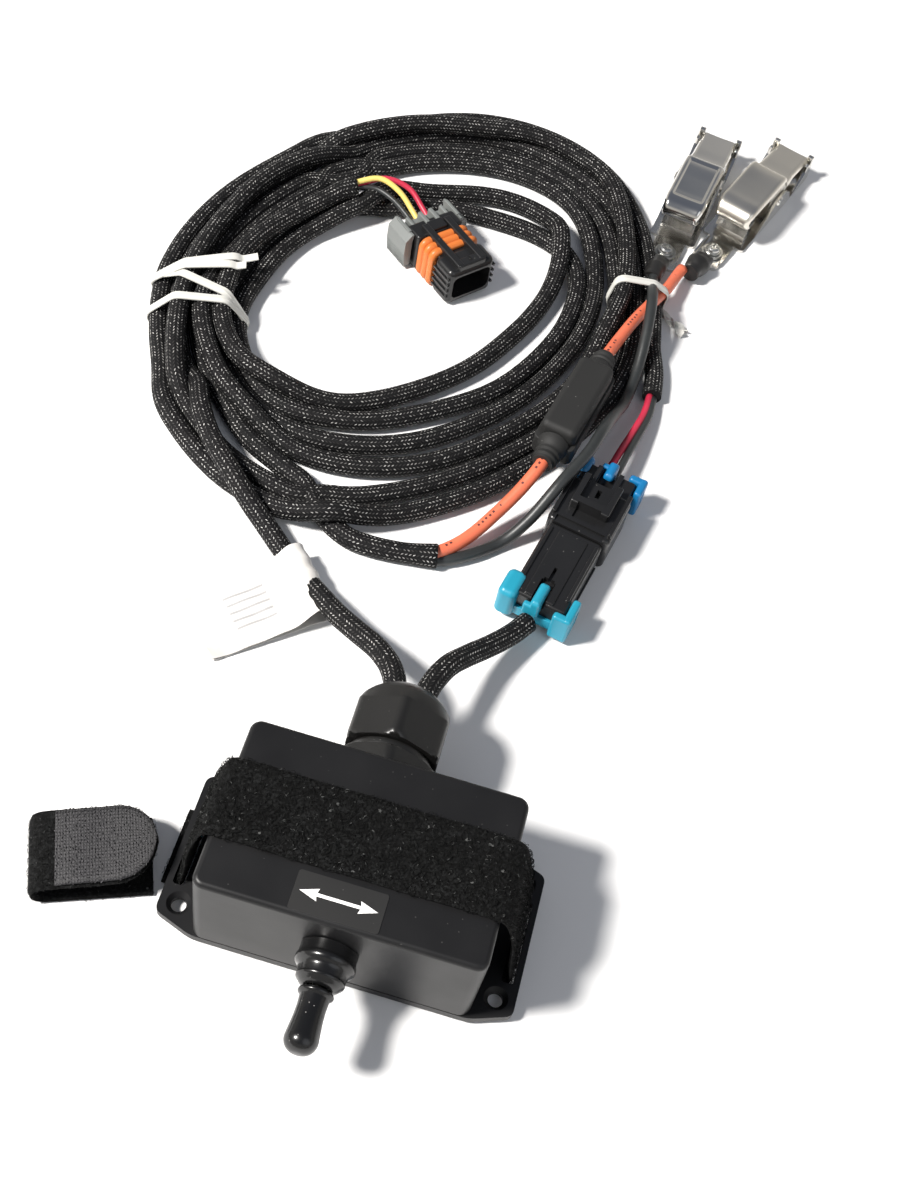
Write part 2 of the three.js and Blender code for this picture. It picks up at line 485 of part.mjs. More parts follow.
function buildClip({ name, x, y, angle, roll }) {
  const group = placedGroup(x, y, FLOOR, angle, roll);
  const { length, half, sheet, pinX, pinZ, padTop } = CLIP;
  const inner = half - sheet - GAP;
  const pin = rodY(1.5, -half, half, 10, pinX, pinZ);
  const floorPlate = block([18, -half, 0], [length, half, sheet]);
  const tail = block([0, -6, 0], [20, 6, sheet]);
  const screwHole = rodZ(1.8, -1, 5, 12, 8, 0);
  const side = [[26, 0], [66, 0], [60, 7], [54, 11], [46, 11], [34, 6]];
  const lower = joined(floorPlate, tail, cheek(side, 1, half), cheek(side, -1, half), pin,
    teeth(length - sheet, half, 0.2, 6.4, sheet));
  add(`${name}_lower_jaw`, cut(lower, screwHole), FINISH.chrome, group);

  const pad = block([22, -inner, padTop - sheet], [54, inner, padTop]);
  const curl = block([20, -inner, 12], [20 + sheet, inner, padTop - 0.6]);
  const curlJoin = block([20, -inner, padTop - 1.6], [23, inner, padTop - 0.4]);
  const flange = [[23, padTop - 0.5], [23, 13.5], [35, 9], [44, 5], [54, 4.6], [60, 8.6], [60, 12], [53, padTop - 0.5]];
  const slope = band([[53.4, padTop - 0.6], [58.5, 12.4], [length - 0.8, 10]], sheet, 2 * inner);
  const upper = joined(pad, curl, curlJoin, slope, cheek(flange, 1, inner), cheek(flange, -1, inner),
    teeth(length - sheet, inner, 10, 6.9, sheet));
  add(`${name}_upper_jaw`, cut(upper, rodY(1.8, -20, 20, 12, pinX, pinZ)), FINISH.chrome, group);

  const turns = 5;
  const points = [];
  for (let i = 0; i <= turns * 12; i += 1) {
    const turn = (2 * Math.PI * i) / 12;
    points.push([34 + 5.2 * Math.cos(turn), 5.2 * Math.sin(turn), 2.4 + (i / (turns * 12)) * 14.2]);
  }
  add(`${name}_spring`, tube(points, 0.6, 6, turns * 12), FINISH.zinc, group);

  const head = [[0, 0.1], [1.5, 0.1], [1.5, 2.9], [3.2, 2.9], [3.2, 4.1], [2.2, 5.1], [0, 5.1]];
  add(`${name}_screw`, turnedZ(head, 12, 8, 0), FINISH.zinc, group);
  const tongue = cut(block([-3, -4, 1.5], [12, 4, 2.6]), screwHole);
  const sleeve = rodY(4.4, -14.5, -1.2, 12, 0, 0).rotateZ(-Math.PI / 2).translate(0, 0, 5);
  add(`${name}_boot`, joined(tongue, sleeve), FINISH.rubber, group);
}

buildBasePlate();
buildEnclosure();
buildGland();
buildToggle();
buildInnerWires();
buildStrap();
buildCables();
buildCoil();
buildTag();
buildMatedConnector();
buildFuse();
buildActuatorConnector();
CLIPS.forEach(buildClip);
root.position.z = -FLOOR;

export default root;
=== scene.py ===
import json
import math

import bmesh
import bpy
import numpy as np
from mathutils import Matrix, Vector

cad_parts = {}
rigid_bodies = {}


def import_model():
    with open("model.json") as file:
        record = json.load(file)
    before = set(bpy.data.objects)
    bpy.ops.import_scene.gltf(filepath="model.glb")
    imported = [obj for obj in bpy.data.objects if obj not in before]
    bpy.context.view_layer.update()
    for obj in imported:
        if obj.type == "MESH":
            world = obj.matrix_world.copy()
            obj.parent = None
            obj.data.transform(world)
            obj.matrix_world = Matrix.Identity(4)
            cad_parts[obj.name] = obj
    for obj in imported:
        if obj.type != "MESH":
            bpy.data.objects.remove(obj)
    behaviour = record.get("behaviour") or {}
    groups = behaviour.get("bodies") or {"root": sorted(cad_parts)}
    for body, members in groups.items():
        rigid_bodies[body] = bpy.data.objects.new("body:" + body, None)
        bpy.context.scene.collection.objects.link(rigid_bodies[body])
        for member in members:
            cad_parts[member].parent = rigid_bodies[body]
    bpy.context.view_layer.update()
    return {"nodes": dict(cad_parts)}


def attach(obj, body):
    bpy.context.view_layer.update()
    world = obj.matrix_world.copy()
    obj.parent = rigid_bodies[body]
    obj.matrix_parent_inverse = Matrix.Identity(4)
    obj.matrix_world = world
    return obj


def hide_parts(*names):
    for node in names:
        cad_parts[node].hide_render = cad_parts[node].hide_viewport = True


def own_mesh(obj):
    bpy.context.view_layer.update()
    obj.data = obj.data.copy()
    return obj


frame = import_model()
nodes = frame["nodes"]

# ---------------------------------------------------------------------------------------------------
# View, floor and light. A seated person's view of the unit on a pale table, lit from a big soft window
# at the upper left, with a weaker fill from the right.
# ---------------------------------------------------------------------------------------------------
camera_data = bpy.data.cameras.new("seated_view")
camera_data.lens = 44.88
camera_data.sensor_width = 36.0
camera_data.clip_start = 0.02
camera = bpy.data.objects.new("seated_view", camera_data)
right = (0.95936, 0.24702, 0.136418)
down = (0.280469, -0.781454, -0.557375)
ahead = (-0.031078, 0.572985, -0.818977)
turn = Matrix((right, [-value for value in down], [-value for value in ahead])).transposed()
camera.matrix_world = Matrix.Translation((0.01724, -0.18302, 0.42935)) @ turn.to_4x4()
bpy.context.scene.collection.objects.link(camera)
bpy.context.scene.camera = camera


def plain_material(name, colour, roughness=0.5, metallic=0.0):
    material = bpy.data.materials.new(name)
    material.use_nodes = True
    shader = material.node_tree.nodes["Principled BSDF"]
    shader.inputs["Base Color"].default_value = (*colour, 1.0)
    shader.inputs["Roughness"].default_value = roughness
    shader.inputs["Metallic"].default_value = metallic
    return material


table_mesh = bpy.data.meshes.new("table_top")
table_mesh.from_pydata([(-3, -3, 0), (3, -3, 0), (3, 3, 0), (-3, 3, 0)], [], [(0, 1, 2, 3)])
table_top = bpy.data.objects.new("table_top", table_mesh)
bpy.context.scene.collection.objects.link(table_top)
table_top.location.z = -0.0002
table_mesh.materials.append(plain_material("pale_table", (0.86, 0.86, 0.86), 0.9))


def soft_lamp(name, place, aim, size, power, colour):
    lamp_data = bpy.data.lights.new(name, "AREA")
    lamp_data.shape = "DISK"
    lamp_data.size = size
    lamp_data.energy = power
    lamp_data.color = colour
    lamp = bpy.data.objects.new(name, lamp_data)
    lamp.location = place
    lamp.rotation_euler = (Vector(aim) - Vector(place)).to_track_quat("-Z", "Y").to_euler()
    bpy.context.scene.collection.objects.link(lamp)


soft_lamp("window", (-1.0, -0.45, 1.35), (-0.02, 0.13, 0), 0.3, 64, (1.0, 0.97, 0.93))
soft_lamp("room_fill", (1.3, -0.9, 1.5), (0, 0.1, 0), 1.8, 7, (0.93, 0.96, 1.0))
sky = bpy.data.worlds.new("room")
bpy.context.scene.world = sky
sky.use_nodes = True
background = sky.node_tree.nodes["Background"]
upness = sky.node_tree.nodes.new("ShaderNodeSeparateXYZ")
outward = sky.node_tree.nodes.new("ShaderNodeTexCoord").outputs["Generated"]
sky.node_tree.links.new(outward, upness.inputs[0])
ramp = sky.node_tree.nodes.new("ShaderNodeValToRGB")
ramp.color_ramp.elements[0].color = (0.3, 0.295, 0.285, 1)
ramp.color_ramp.elements[1].color = (0.13, 0.145, 0.185, 1)
ramp.color_ramp.elements.new(0.3).color = (0.62, 0.6, 0.57, 1)
ramp.color_ramp.elements.new(0.62).color = (0.17, 0.185, 0.22, 1)
sky.node_tree.links.new(upness.outputs[2], ramp.inputs[0])
sky.node_tree.links.new(ramp.outputs[0], background.inputs["Color"])
background.inputs["Strength"].default_value = 1.0
bpy.context.scene.view_settings.view_transform = "Standard"

# ---------------------------------------------------------------------------------------------------
# Harness cables. Two cords in braided polyester sleeve, each laid as a route: cable A from the gland,
# clockwise round the coil and out on top to the sealed connector, cable C from the plug, the other way
# round and out at the bottom. The coil settles under its own weight before it is drawn.
# ---------------------------------------------------------------------------------------------------
SLEEVE = 7.6  # sleeve diameter, mm
COIL_MIDDLE = (-51, 248)


def smooth_line(points, step):
    """A smooth line through given points, with even steps."""
    points = np.array(points, float)
    points = np.vstack([2 * points[0] - points[1], points, 2 * points[-1] - points[-2]])
    line = []
    for a, b, c, d in zip(points, points[1:], points[2:], points[3:]):
        gaps = [np.linalg.norm(q - p) for p, q in ((a, b), (b, c), (c, d))]
        knots = np.cumsum([0] + [max(gap, 1e-6) ** 0.5 for gap in gaps])
        for t in np.linspace(knots[1], knots[2], 24, endpoint=False):
            ab, bc, cd = (
                (p * (k1 - t) + q * (t - k0)) / (k1 - k0)
                for p, q, k0, k1 in ((a, b, *knots[:2]), (b, c, *knots[1:3]), (c, d, *knots[2:]))
            )
            near = (ab * (knots[2] - t) + bc * (t - knots[0])) / (knots[2] - knots[0])
            far = (bc * (knots[3] - t) + cd * (t - knots[1])) / (knots[3] - knots[1])
            line.append((near * (knots[2] - t) + far * (t - knots[1])) / (knots[2] - knots[1]))
    line.append(points[-2])
    return evenly(np.array(line), step)


def evenly(line, step):
    run = np.concatenate([[0], np.cumsum(np.linalg.norm(np.diff(line, axis=0), axis=1))])
    marks = np.linspace(0, run[-1], max(2, round(run[-1] / step) + 1))
    return np.stack([np.interp(marks, run, line[:, axis]) for axis in range(3)], axis=1)


def wound(turns):
    """Points of a winding from rows of (angle, distance from the coil's middle, height), mm."""
    angle, reach, height = np.array(turns, float).T
    angle = np.radians(angle)
    return list(zip(COIL_MIDDLE[0] + reach * np.cos(angle), COIL_MIDDLE[1] + reach * np.sin(angle), height))


low, mid, high = 3.8, 10.5, 16.5  # a sleeve's height on the table, on one other and on two
route_a = [
    (-5.7, 37, 23.5), (-5.7, 50, 23.5), (-6.2, 60, 23.5), (-9.5, 69, 22), (-16, 77, 19), (-25, 84, 15),
    (-34, 91, 11.2), (-43, 99, 8.4), (-52, 107.5, 7), (-61, 115.5, 7), (-70, 124, 9.5),
]
route_a += wound([
    (251, 116, 11), (246, 112, 8), (238, 106, low), (225, 99, low), (210, 94, low), (195, 90, low),
    (180, 87, low), (165, 87, low), (150, 86, low), (135, 88, low), (120, 93, mid), (104, 102, mid),
    (90, 108, mid), (75, 117, mid), (61, 119, mid), (46, 106, mid), (30, 93, mid), (15, 85, mid),
    (0, 79, low), (345, 76, low), (325, 74, low), (310, 76, low), (298, 80, low), (288, 84, low),
    (270, 90, low), (252, 93, mid), (235, 91, mid), (218, 86, mid), (205, 83, mid), (192, 79, low),
    (175, 74, low), (155, 74, low), (135, 77, low), (114, 84, low), (93, 91, low), (74, 99, low),
    (58, 99, low), (41, 87, low), (25, 77, low), (5, 70, low), (352, 66, low), (334, 64, low),
    (316, 65, low), (301, 68, low), (288, 73, low), (272, 79, low), (258, 84, low), (243, 86, low),
    (228, 83, mid), (212, 77, mid), (196, 71, mid), (180, 67, low), (160, 62, low), (140, 58, low),
    (120, 56, low), (90, 61, low), (71, 65, low), (55, 74, low), (45, 77, low), (30, 75, low),
    (15, 67, low), (356, 59, low), (339, 56, low), (322, 56, low), (304, 56, low), (289, 59, low),
    (274, 66, low), (262, 71, low), (250, 76, low), (238, 78, low), (226, 78, low), (210, 74, low),
    (190, 66, mid), (170, 62, mid), (150, 57, mid), (130, 56, mid), (112, 61, mid), (96, 67, high),
    (82, 75, high), (70, 82, high), (58, 82, high), (47, 76, high), (36, 67, mid), (24, 57, low + 2),
    (8, 48, low), (350, 42, low), (330, 41, low), (312, 42, low), (292, 46, low), (275, 54, low),
    (260, 64, low + 2), (245, 74, mid), (232, 79, mid), (218, 79, high), (204, 77, high),
    (190, 72, high), (176, 66, high), (163, 62, high), (150, 60, 15), (139, 58, 14.2),
])
route_a += [(-91, 290, 14.2), (-87, 292.5, 14.4)]
route_c = [(52, 235, low), (51, 246, low), (48.5, 256, low)]
route_c += wound([
    (14, 98, low), (24, 101, low), (34, 104, low), (45, 113, low), (56, 123, low), (68, 127, low),
    (80, 126, low), (92, 120, low), (104, 110, low), (118, 100, low), (135, 93, low), (152, 90, mid),
    (170, 88, mid), (185, 89, mid), (200, 94, low), (217, 101, low), (229, 107, low), (240, 113, low),
    (251, 118, low), (260, 120, low), (270, 118, low), (279, 111, mid), (290, 103, low), (302, 97, low),
    (314, 92, low), (328, 90, low), (342, 89, low), (356, 90, low), (10, 91, low), (24, 95, low),
    (38, 103, low), (50, 112, low), (62, 117, low), (76, 116, low), (90, 110, low), (105, 101, low),
    (120, 93, low), (136, 87, mid), (155, 84, mid), (175, 82, mid), (192, 86, mid), (206, 91, mid),
    (220, 97, mid), (234, 104, low), (247, 109, low), (260, 109, low), (270, 106, low), (280, 99, low),
    (292, 92, low), (306, 86, low), (320, 83, low), (335, 83, low), (350, 84, low), (5, 84, low),
    (20, 87, low), (36, 95, low), (50, 103, low), (64, 107, low), (78, 104, low), (92, 97, low),
    (108, 88, low), (124, 80, low), (142, 76, low), (160, 76, low), (178, 78, low), (195, 81, low),
    (212, 84, low), (230, 88, low), (244, 93, low), (256, 99, low), (265, 106, low),
])
route_c += [(-47, 130, low), (-38, 127.5, low), (-27, 127.5, low), (-17, 129, low), (-8.6, 131, low)]


def settled(lines, thick, rounds, pinned):
    """Rest the turns on the table and on each other, a diameter apart."""
    points = np.vstack(lines)
    owner = np.concatenate([np.full(len(line), i) for i, line in enumerate(lines)])
    order = np.arange(len(points))
    home = points.copy()
    fixed = np.zeros(len(points), bool)
    start = 0
    for line, (head, tail) in zip(lines, pinned):
        fixed[start : start + head] = True
        fixed[start + len(line) - tail : start + len(line)] = True
        start += len(line)
    inner = np.zeros(len(points), bool)
    inner[1:-1] = (owner[1:-1] == owner[:-2]) & (owner[1:-1] == owner[2:])
    inside = order[inner & ~fixed]
    for turn in range(rounds):
        if turn % 4 == 0:
            gap = ((points[:, None, :] - points[None, :, :]) ** 2).sum(2)
            gap[(np.abs(order[:, None] - order[None, :]) < 8) & (owner[:, None] == owner[None, :])] = 1e6
            first, second = np.nonzero(np.triu(gap < (thick * 1.5) ** 2))
        away = points[first] - points[second]
        far = np.linalg.norm(away, axis=1)
        near = far < thick
        push = away[near] / far[near, None] * (thick - far[near, None]) * 0.5
        shift, count = np.zeros_like(points), np.ones(len(points))
        np.add.at(shift, first[near], push)
        np.add.at(shift, second[near], -push)
        np.add.at(count, first[near], 0.5)
        np.add.at(count, second[near], 0.5)
        points[~fixed] += (shift / count[:, None])[~fixed] * 1.3
        points[inside] += 0.35 * ((points[inside - 1] + points[inside + 1]) / 2 - points[inside])
        points[~fixed, :2] += 0.03 * (home - points)[~fixed, :2]
        points[~fixed, 2] -= 0.12 if turn < rounds * 0.8 else 0.02
        points[:, 2] = np.maximum(points[:, 2], thick / 2)
    ends = np.cumsum([len(line) for line in lines])[:-1]
    return np.split(points, ends)


line_a, line_c = smooth_line(route_a, 3.6), smooth_line(route_c, 3.6)
line_a, line_c = settled([line_a, line_c], SLEEVE, 420, [(22, 3), (8, 10)])


def piece_from(name, work):
    """An object in the scene from a working mesh."""
    mesh = bpy.data.meshes.new(name)
    work.to_mesh(mesh)
    work.free()
    piece = bpy.data.objects.new(name, mesh)
    bpy.context.scene.collection.objects.link(piece)
    return piece


def hose(name, line, across, sides=16, flat=1.0, taper=None):
    """A closed tube along a line in mm, with a UV of turns round it and metres along it."""
    line = np.array(line) / 1000
    steps = np.gradient(line, axis=0)
    steps /= np.linalg.norm(steps, axis=1)[:, None]
    side = np.cross(steps[0], (0, 0, 1))
    side /= np.linalg.norm(side)
    run = np.concatenate([[0], np.cumsum(np.linalg.norm(np.diff(line, axis=0), axis=1))])
    tube = bmesh.new()
    uv = tube.loops.layers.uv.new("sleeve")
    rings = []
    for i, (place, along) in enumerate(zip(line, steps)):
        side = side - along * side.dot(along)
        side /= np.linalg.norm(side)
        up = np.cross(side, along)
        reach = across / 2000 * (taper(i / (len(line) - 1)) if taper else 1.0)
        turns = [2 * math.pi * k / sides for k in range(sides)]
        rings.append([tube.verts.new(place + reach * (math.cos(a) * side + flat * math.sin(a) * up))
            for a in turns])
    for i in range(len(rings) - 1):
        for k in range(sides):
            n = (k + 1) % sides
            face = tube.faces.new((rings[i][k], rings[i][n], rings[i + 1][n], rings[i + 1][k]))
            for loop, (u, v) in zip(face.loops, ((k, i), (k + 1, i), (k + 1, i + 1), (k, i + 1))):
                loop[uv].uv = (u / sides, run[v])
            face.smooth = True
    tube.faces.new(rings[0][::-1])
    tube.faces.new(rings[-1])
    bmesh.ops.recalc_face_normals(tube, faces=tube.faces)
    return piece_from(name, tube)


def node(tree, kind, **values):
    """A shader node with its inputs set or linked, by name or number."""
    made = tree.nodes.new(kind)
    for key, value in values.items():
        if key.startswith("p_"):
            setattr(made, key[2:], value)
            continue
        numbered = key[0] == "i" and key[1:].isdigit()
        socket = made.inputs[int(key[1:]) if numbered else key.replace("_", " ")]
        if isinstance(value, bpy.types.NodeSocket):
            tree.links.new(value, socket)
        else:
            socket.default_value = value
    return made


def math_node(tree, operation, *values):
    inputs = {f"i{i}": value for i, value in enumerate(values)}
    return node(tree, "ShaderNodeMath", p_operation=operation, **inputs).outputs[0]


def named_math(operation):
    return lambda tree, *values: math_node(tree, operation, *values)


times, plus, minus, divided = (named_math(kind) for kind in ("MULTIPLY", "ADD", "SUBTRACT", "DIVIDE"))
less_than, more_than, magnitude = (named_math(kind) for kind in ("LESS_THAN", "GREATER_THAN", "ABSOLUTE"))
fraction, rounded_down, raised = (named_math(kind) for kind in ("FRACT", "FLOOR", "POWER"))


def mixed(tree, share, first, second):
    """One colour giving way to another as the share goes from 0 to 1."""
    return node(tree, "ShaderNodeMix", p_data_type="RGBA", i0=share, i6=first, i7=second).outputs[2]


def group_tree(name, inputs, outputs):
    """An empty shader group with named sockets: rows are (name, kind, value)."""
    tree = bpy.data.node_groups.new(name, "ShaderNodeTree")
    for label, kind, value in inputs:
        socket = tree.interface.new_socket(label, in_out="INPUT", socket_type=kind)
        if value is not None:
            socket.default_value = value
    for label, kind in outputs:
        tree.interface.new_socket(label, in_out="OUTPUT", socket_type=kind)
    return tree, tree.nodes.new("NodeGroupInput").outputs, tree.nodes.new("NodeGroupOutput").inputs


def placed(tree, group, **values):
    return node(tree, "ShaderNodeGroup", p_node_tree=group, **values).outputs


def laid_out(tree, uv_map):
    """The two coordinates of a named UV map."""
    flat = node(tree, "ShaderNodeUVMap", p_uv_map=uv_map).outputs[0]
    return node(tree, "ShaderNodeSeparateXYZ", i0=flat).outputs


def mapped(tree, value, **limits):
    return node(tree, "ShaderNodeMapRange", i0=value, **limits).outputs[0]


def surfaced(material, colour, height, strength, depth, rough=None):
    """Links a finish's colour, its bump and, where it varies, its roughness to its shader."""
    tree = material.node_tree
    shader = tree.nodes["Principled BSDF"]
    tree.links.new(colour, shader.inputs["Base Color"])
    bump = node(tree, "ShaderNodeBump", Strength=strength, Distance=depth, Height=height)
    tree.links.new(bump.outputs[0], shader.inputs["Normal"])
    if rough is not None:
        tree.links.new(rough, shader.inputs["Roughness"])
    return material


def braid_group():
    """Herringbone of a braided sleeve: slanted bright dashes in columns round the cord, with a painted glint
    at the middle of some of them.
    """
    tree, given, out = group_tree(
        "herringbone_braid",
        [("Columns", "NodeSocketFloat", 16.0), ("Pitch", "NodeSocketFloat", 0.0022)],
        [("Dash", "NodeSocketFloat"), ("Spark", "NodeSocketFloat"), ("Height", "NodeSocketFloat")],
    )
    place = laid_out(tree, "sleeve")
    round_it = times(tree, place[0], given["Columns"])
    along = divided(tree, place[1], given["Pitch"])
    column = rounded_down(tree, round_it)
    across = minus(tree, fraction(tree, round_it), 0.5)
    odd = math_node(tree, "FLOORED_MODULO", column, 2.0)
    slant = times(tree, across, minus(tree, times(tree, odd, 2.4), 1.2))
    along = plus(tree, plus(tree, along, times(tree, odd, 0.5)), slant)
    cell = rounded_down(tree, along)
    lengthways = minus(tree, fraction(tree, along), 0.5)
    wide = raised(tree, magnitude(tree, divided(tree, across, 0.4)), 2.0)
    long = raised(tree, magnitude(tree, divided(tree, lengthways, 0.34)), 2.0)
    dash = minus(tree, 1.0, plus(tree, wide, long))
    dash = mapped(tree, dash, p_interpolation_type="SMOOTHSTEP", i1=0.0, i2=0.9)
    # Painted glint: a small white spot painted at the middle of a random share of the dashes.
    core = minus(tree, 1.0, plus(tree, times(tree, wide, 4.6), times(tree, long, 2.2)))
    core = more_than(tree, core, 0.1)
    seed = node(tree, "ShaderNodeCombineXYZ", i0=column, i1=cell, i2=0.0).outputs[0]
    chance = node(tree, "ShaderNodeTexWhiteNoise", p_noise_dimensions="3D", i0=seed).outputs[0]
    spark = times(tree, raised(tree, chance, 2.0), core)
    tree.links.new(dash, out["Dash"])
    tree.links.new(spark, out["Spark"])
    tree.links.new(times(tree, dash, 0.5), out["Height"])
    return tree


braid = braid_group()


def sleeve_material(name, columns, pitch):
    material = plain_material(name, (0.012, 0.012, 0.013), 0.5)
    tree = material.node_tree
    tree.nodes["Principled BSDF"].inputs["Specular IOR Level"].default_value = 0.22
    weave = placed(tree, braid, Columns=columns, Pitch=pitch)
    # Painted highlight and shade: each yarn dash is painted lighter at its crown and darker between dashes,
    # and the painted glints are whitish spots laid on top.
    yarn = mixed(tree, weave["Dash"], (0.003, 0.003, 0.0035, 1), (0.011, 0.0105, 0.0105, 1))
    painted_glint = mixed(tree, weave["Spark"], yarn, (0.5, 0.49, 0.47, 1))
    rough = mapped(tree, weave["Dash"], i3=0.75, i4=0.5)
    return surfaced(material, painted_glint, weave["Height"], 0.8, 0.0006, rough)


sleeve_black = sleeve_material("braided_sleeve", 16.0, 0.0014)


def sleeved_cable(name, line, fray, *stands_for):
    """A cable in its braid, which frays out a little at the cut end."""
    piece = hose(name, line, SLEEVE, taper=lambda far: 1 + fray * max(0, (far - 0.994) / 0.006))
    piece.data.materials.append(sleeve_black)
    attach(piece, "controller")
    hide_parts(*stands_for)
    return piece


cable_a = sleeved_cable("cable_a", evenly(line_a, 2.4), 0.12, "cable_a_lead", "cable_a_tail",
    "harness_coil")
cable_c = sleeved_cable("cable_c", evenly(line_c, 2.4), 0.2, "cable_c_lead", "cable_d_lead")
line_b = smooth_line([
    (2.7, 37, 23.5), (2.7, 57, 23.5), (3.5, 66, 23.3), (7, 77, 21), (12, 86, 16.5), (18, 95, 12),
    (24.5, 105, 8.5), (28.6, 112.2, 7.5),
], 2.4)
cable_b = sleeved_cable("cable_b_sleeve", line_b, 0.0, "cable_b")

# ---------------------------------------------------------------------------------------------------
# Single wires. Smooth PVC insulation over stranded copper: two orange battery wires with small print
# marks, one dark grey one, three thin ones into the sealed connector and two behind the plug.
# ---------------------------------------------------------------------------------------------------
BATTERY_WIRE, GREY_WIRE, PLUG_WIRE, THIN_WIRE = 4.8, 4.4, 2.9, 2.3  # diameters, mm


def insulation_group():
    """Insulation: a slow change of tone along the wire, and small printed dashes on one side."""
    tree, given, out = group_tree(
        "wire_insulation",
        [("Print", "NodeSocketFloat", 0.0)],
        [("Tone", "NodeSocketFloat"), ("Mark", "NodeSocketFloat"), ("Height", "NodeSocketFloat")],
    )
    place = laid_out(tree, "sleeve")
    spot = node(tree, "ShaderNodeTexCoord").outputs["Object"]
    tone = node(tree, "ShaderNodeTexNoise", Vector=spot, Scale=140.0, Detail=3.0).outputs[0]
    along = divided(tree, place[1], 0.0019)
    letter = rounded_down(tree, along)
    chance = node(tree, "ShaderNodeTexWhiteNoise", p_noise_dimensions="1D", i1=letter).outputs[0]
    group = math_node(tree, "SINE", times(tree, place[1], 260.0))
    kept = times(tree, more_than(tree, chance, 0.35), more_than(tree, group, -0.25))
    lengthways = magnitude(tree, minus(tree, fraction(tree, along), 0.5))
    side = magnitude(tree, minus(tree, place[0], plus(tree, 0.24, times(tree, chance, 0.03))))
    dash = times(tree, less_than(tree, lengthways, 0.24), less_than(tree, side, 0.03))
    tree.links.new(times(tree, times(tree, dash, kept), given["Print"]), out["Mark"])
    tree.links.new(tone, out["Tone"])
    fine = node(tree, "ShaderNodeTexNoise", Vector=spot, Scale=900.0, Detail=2.0).outputs[0]
    tree.links.new(fine, out["Height"])
    return tree


insulation = insulation_group()


def wire_material(name, colour, roughness, marks=0.0):
    material = plain_material(name, colour, roughness)
    tree = material.node_tree
    skin = placed(tree, insulation, Print=marks)
    dull, bright = (tuple(value * k for value in colour) + (1,) for k in (0.78, 1.16))
    base = mixed(tree, skin["Tone"], dull, bright)
    inked = mixed(tree, skin["Mark"], base, (0.08, 0.02, 0.02, 1))
    rough = mapped(tree, skin["Tone"], i3=roughness - 0.08, i4=roughness + 0.1)
    return surfaced(material, inked, skin["Height"], 0.25, 0.0002, rough)


wire_finish = {
    "orange": wire_material("orange_insulation", (0.68, 0.15, 0.075), 0.42, 1.0),
    "slate": wire_material("dark_grey_insulation", (0.022, 0.0245, 0.025), 0.42),
    "red": wire_material("red_insulation", (0.5, 0.025, 0.06), 0.4),
    "yellow": wire_material("yellow_insulation", (0.74, 0.56, 0.15), 0.42),
}


def wire(name, points, across, colour, lay, *stands_for):
    """A wire laid through given points, in mm."""
    line = smooth_line(points, min(1.6, across * 0.6))
    piece = hose(name, line, across, 14)
    piece.data.materials.append(wire_finish[colour])
    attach(piece, "controller")
    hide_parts(*stands_for)
    return piece


wire("battery_wire_lower", [
    (-15, 129.2, 4.4), (-9.5, 131.6, 4.8), (-4.2, 136.3, 5.2), (0.8, 143, 5.6), (7, 153, 8.5),
    (13, 163, 13), (17.7, 173.6, 17.1), (18.5, 177.6, 17.1),
], BATTERY_WIRE, "orange", "loose", "wire_orange_lower")
wire("battery_wire_upper", [
    (29.4, 232.6, 17.1), (30.3, 236.6, 17.1), (33.5, 250, 14.6), (37.5, 264, 13), (43, 280, 10.5),
    (47.5, 293, 8), (50.2, 304.2, 6.4), (51.6, 308.4, 6.6),
], BATTERY_WIRE, "orange", "loose", "wire_orange_upper")
wire("battery_wire_grey", [
    (-15, 128.4, 2.9), (-9.5, 129.6, 2.7), (-3.2, 132.6, 2.7), (4, 138, 2.7), (12, 146, 2.8),
    (19, 154, 9), (26.5, 167, 18.8), (33, 183, 20.4), (36, 195, 20.4), (39, 210, 14), (42.2, 226, 7),
    (43.6, 240, 8), (43.4, 253, 13.5), (42.6, 266, 17.4), (41.6, 277, 17), (41, 287, 11.5),
    (40.8, 297.4, 6.4), (40.8, 300.6, 6.6),
], GREY_WIRE, "slate", "loose", "wire_grey")
THIN_START = [(-93.2, 288.4, 14.3), (-86.4, 293, 14.6)]
for colour, tint, side, up in (("red", "red", 2.1, 1.2), ("yellow", "yellow", -0.4, 1.9),
        ("black", "slate", -1.9, -0.8)):
    bow = [(-86.4 + side, 294 + 0.8 * side, 14.8 + up), (-78 + side, 297.4 + side, 15.6 + up * 1.6)]
    bow += [(-69 + 1.4 * side, 296 + 1.6 * side, 14.4 + up),
        (-61.8 + 1.3 * side, 291.6 + 1.5 * side, 11.6 + up * 0.3)]
    bow += [(-57.4 + 1.3 * side, 287.6 + 1.5 * side, 10.2)]
    start = [(x + side * 0.3, y + side * 0.3, z + up * 0.5) for x, y, z in THIN_START[:1]]
    wire(f"actuator_wire_{colour}", start + bow, THIN_WIRE, tint, "loose", "actuator_wires")
for colour, side in (("red", -1.75), ("slate", 1.75)):
    line = [(43.2, 183.6, 8.6), (44.4, 188.6, 8.8), (46.6, 199, 8.4), (49.4, 212, 6.6), (51.6, 224, 4.8),
        (52, 234.6, 3.9)]
    line = [(x + side * (1 - 0.55 * i / 5), y - 0.3 * side, z) for i, (x, y, z) in enumerate(line)]
    wire(f"plug_wire_{colour}", line, PLUG_WIRE, colour, "loose", "connector_wires")
inner = {"feed": "slate", "red": "red", "yellow": "yellow"}
for end, colour in inner.items():
    nodes[f"inner_wire_{end}"].material_slots[0].material = wire_finish[colour]

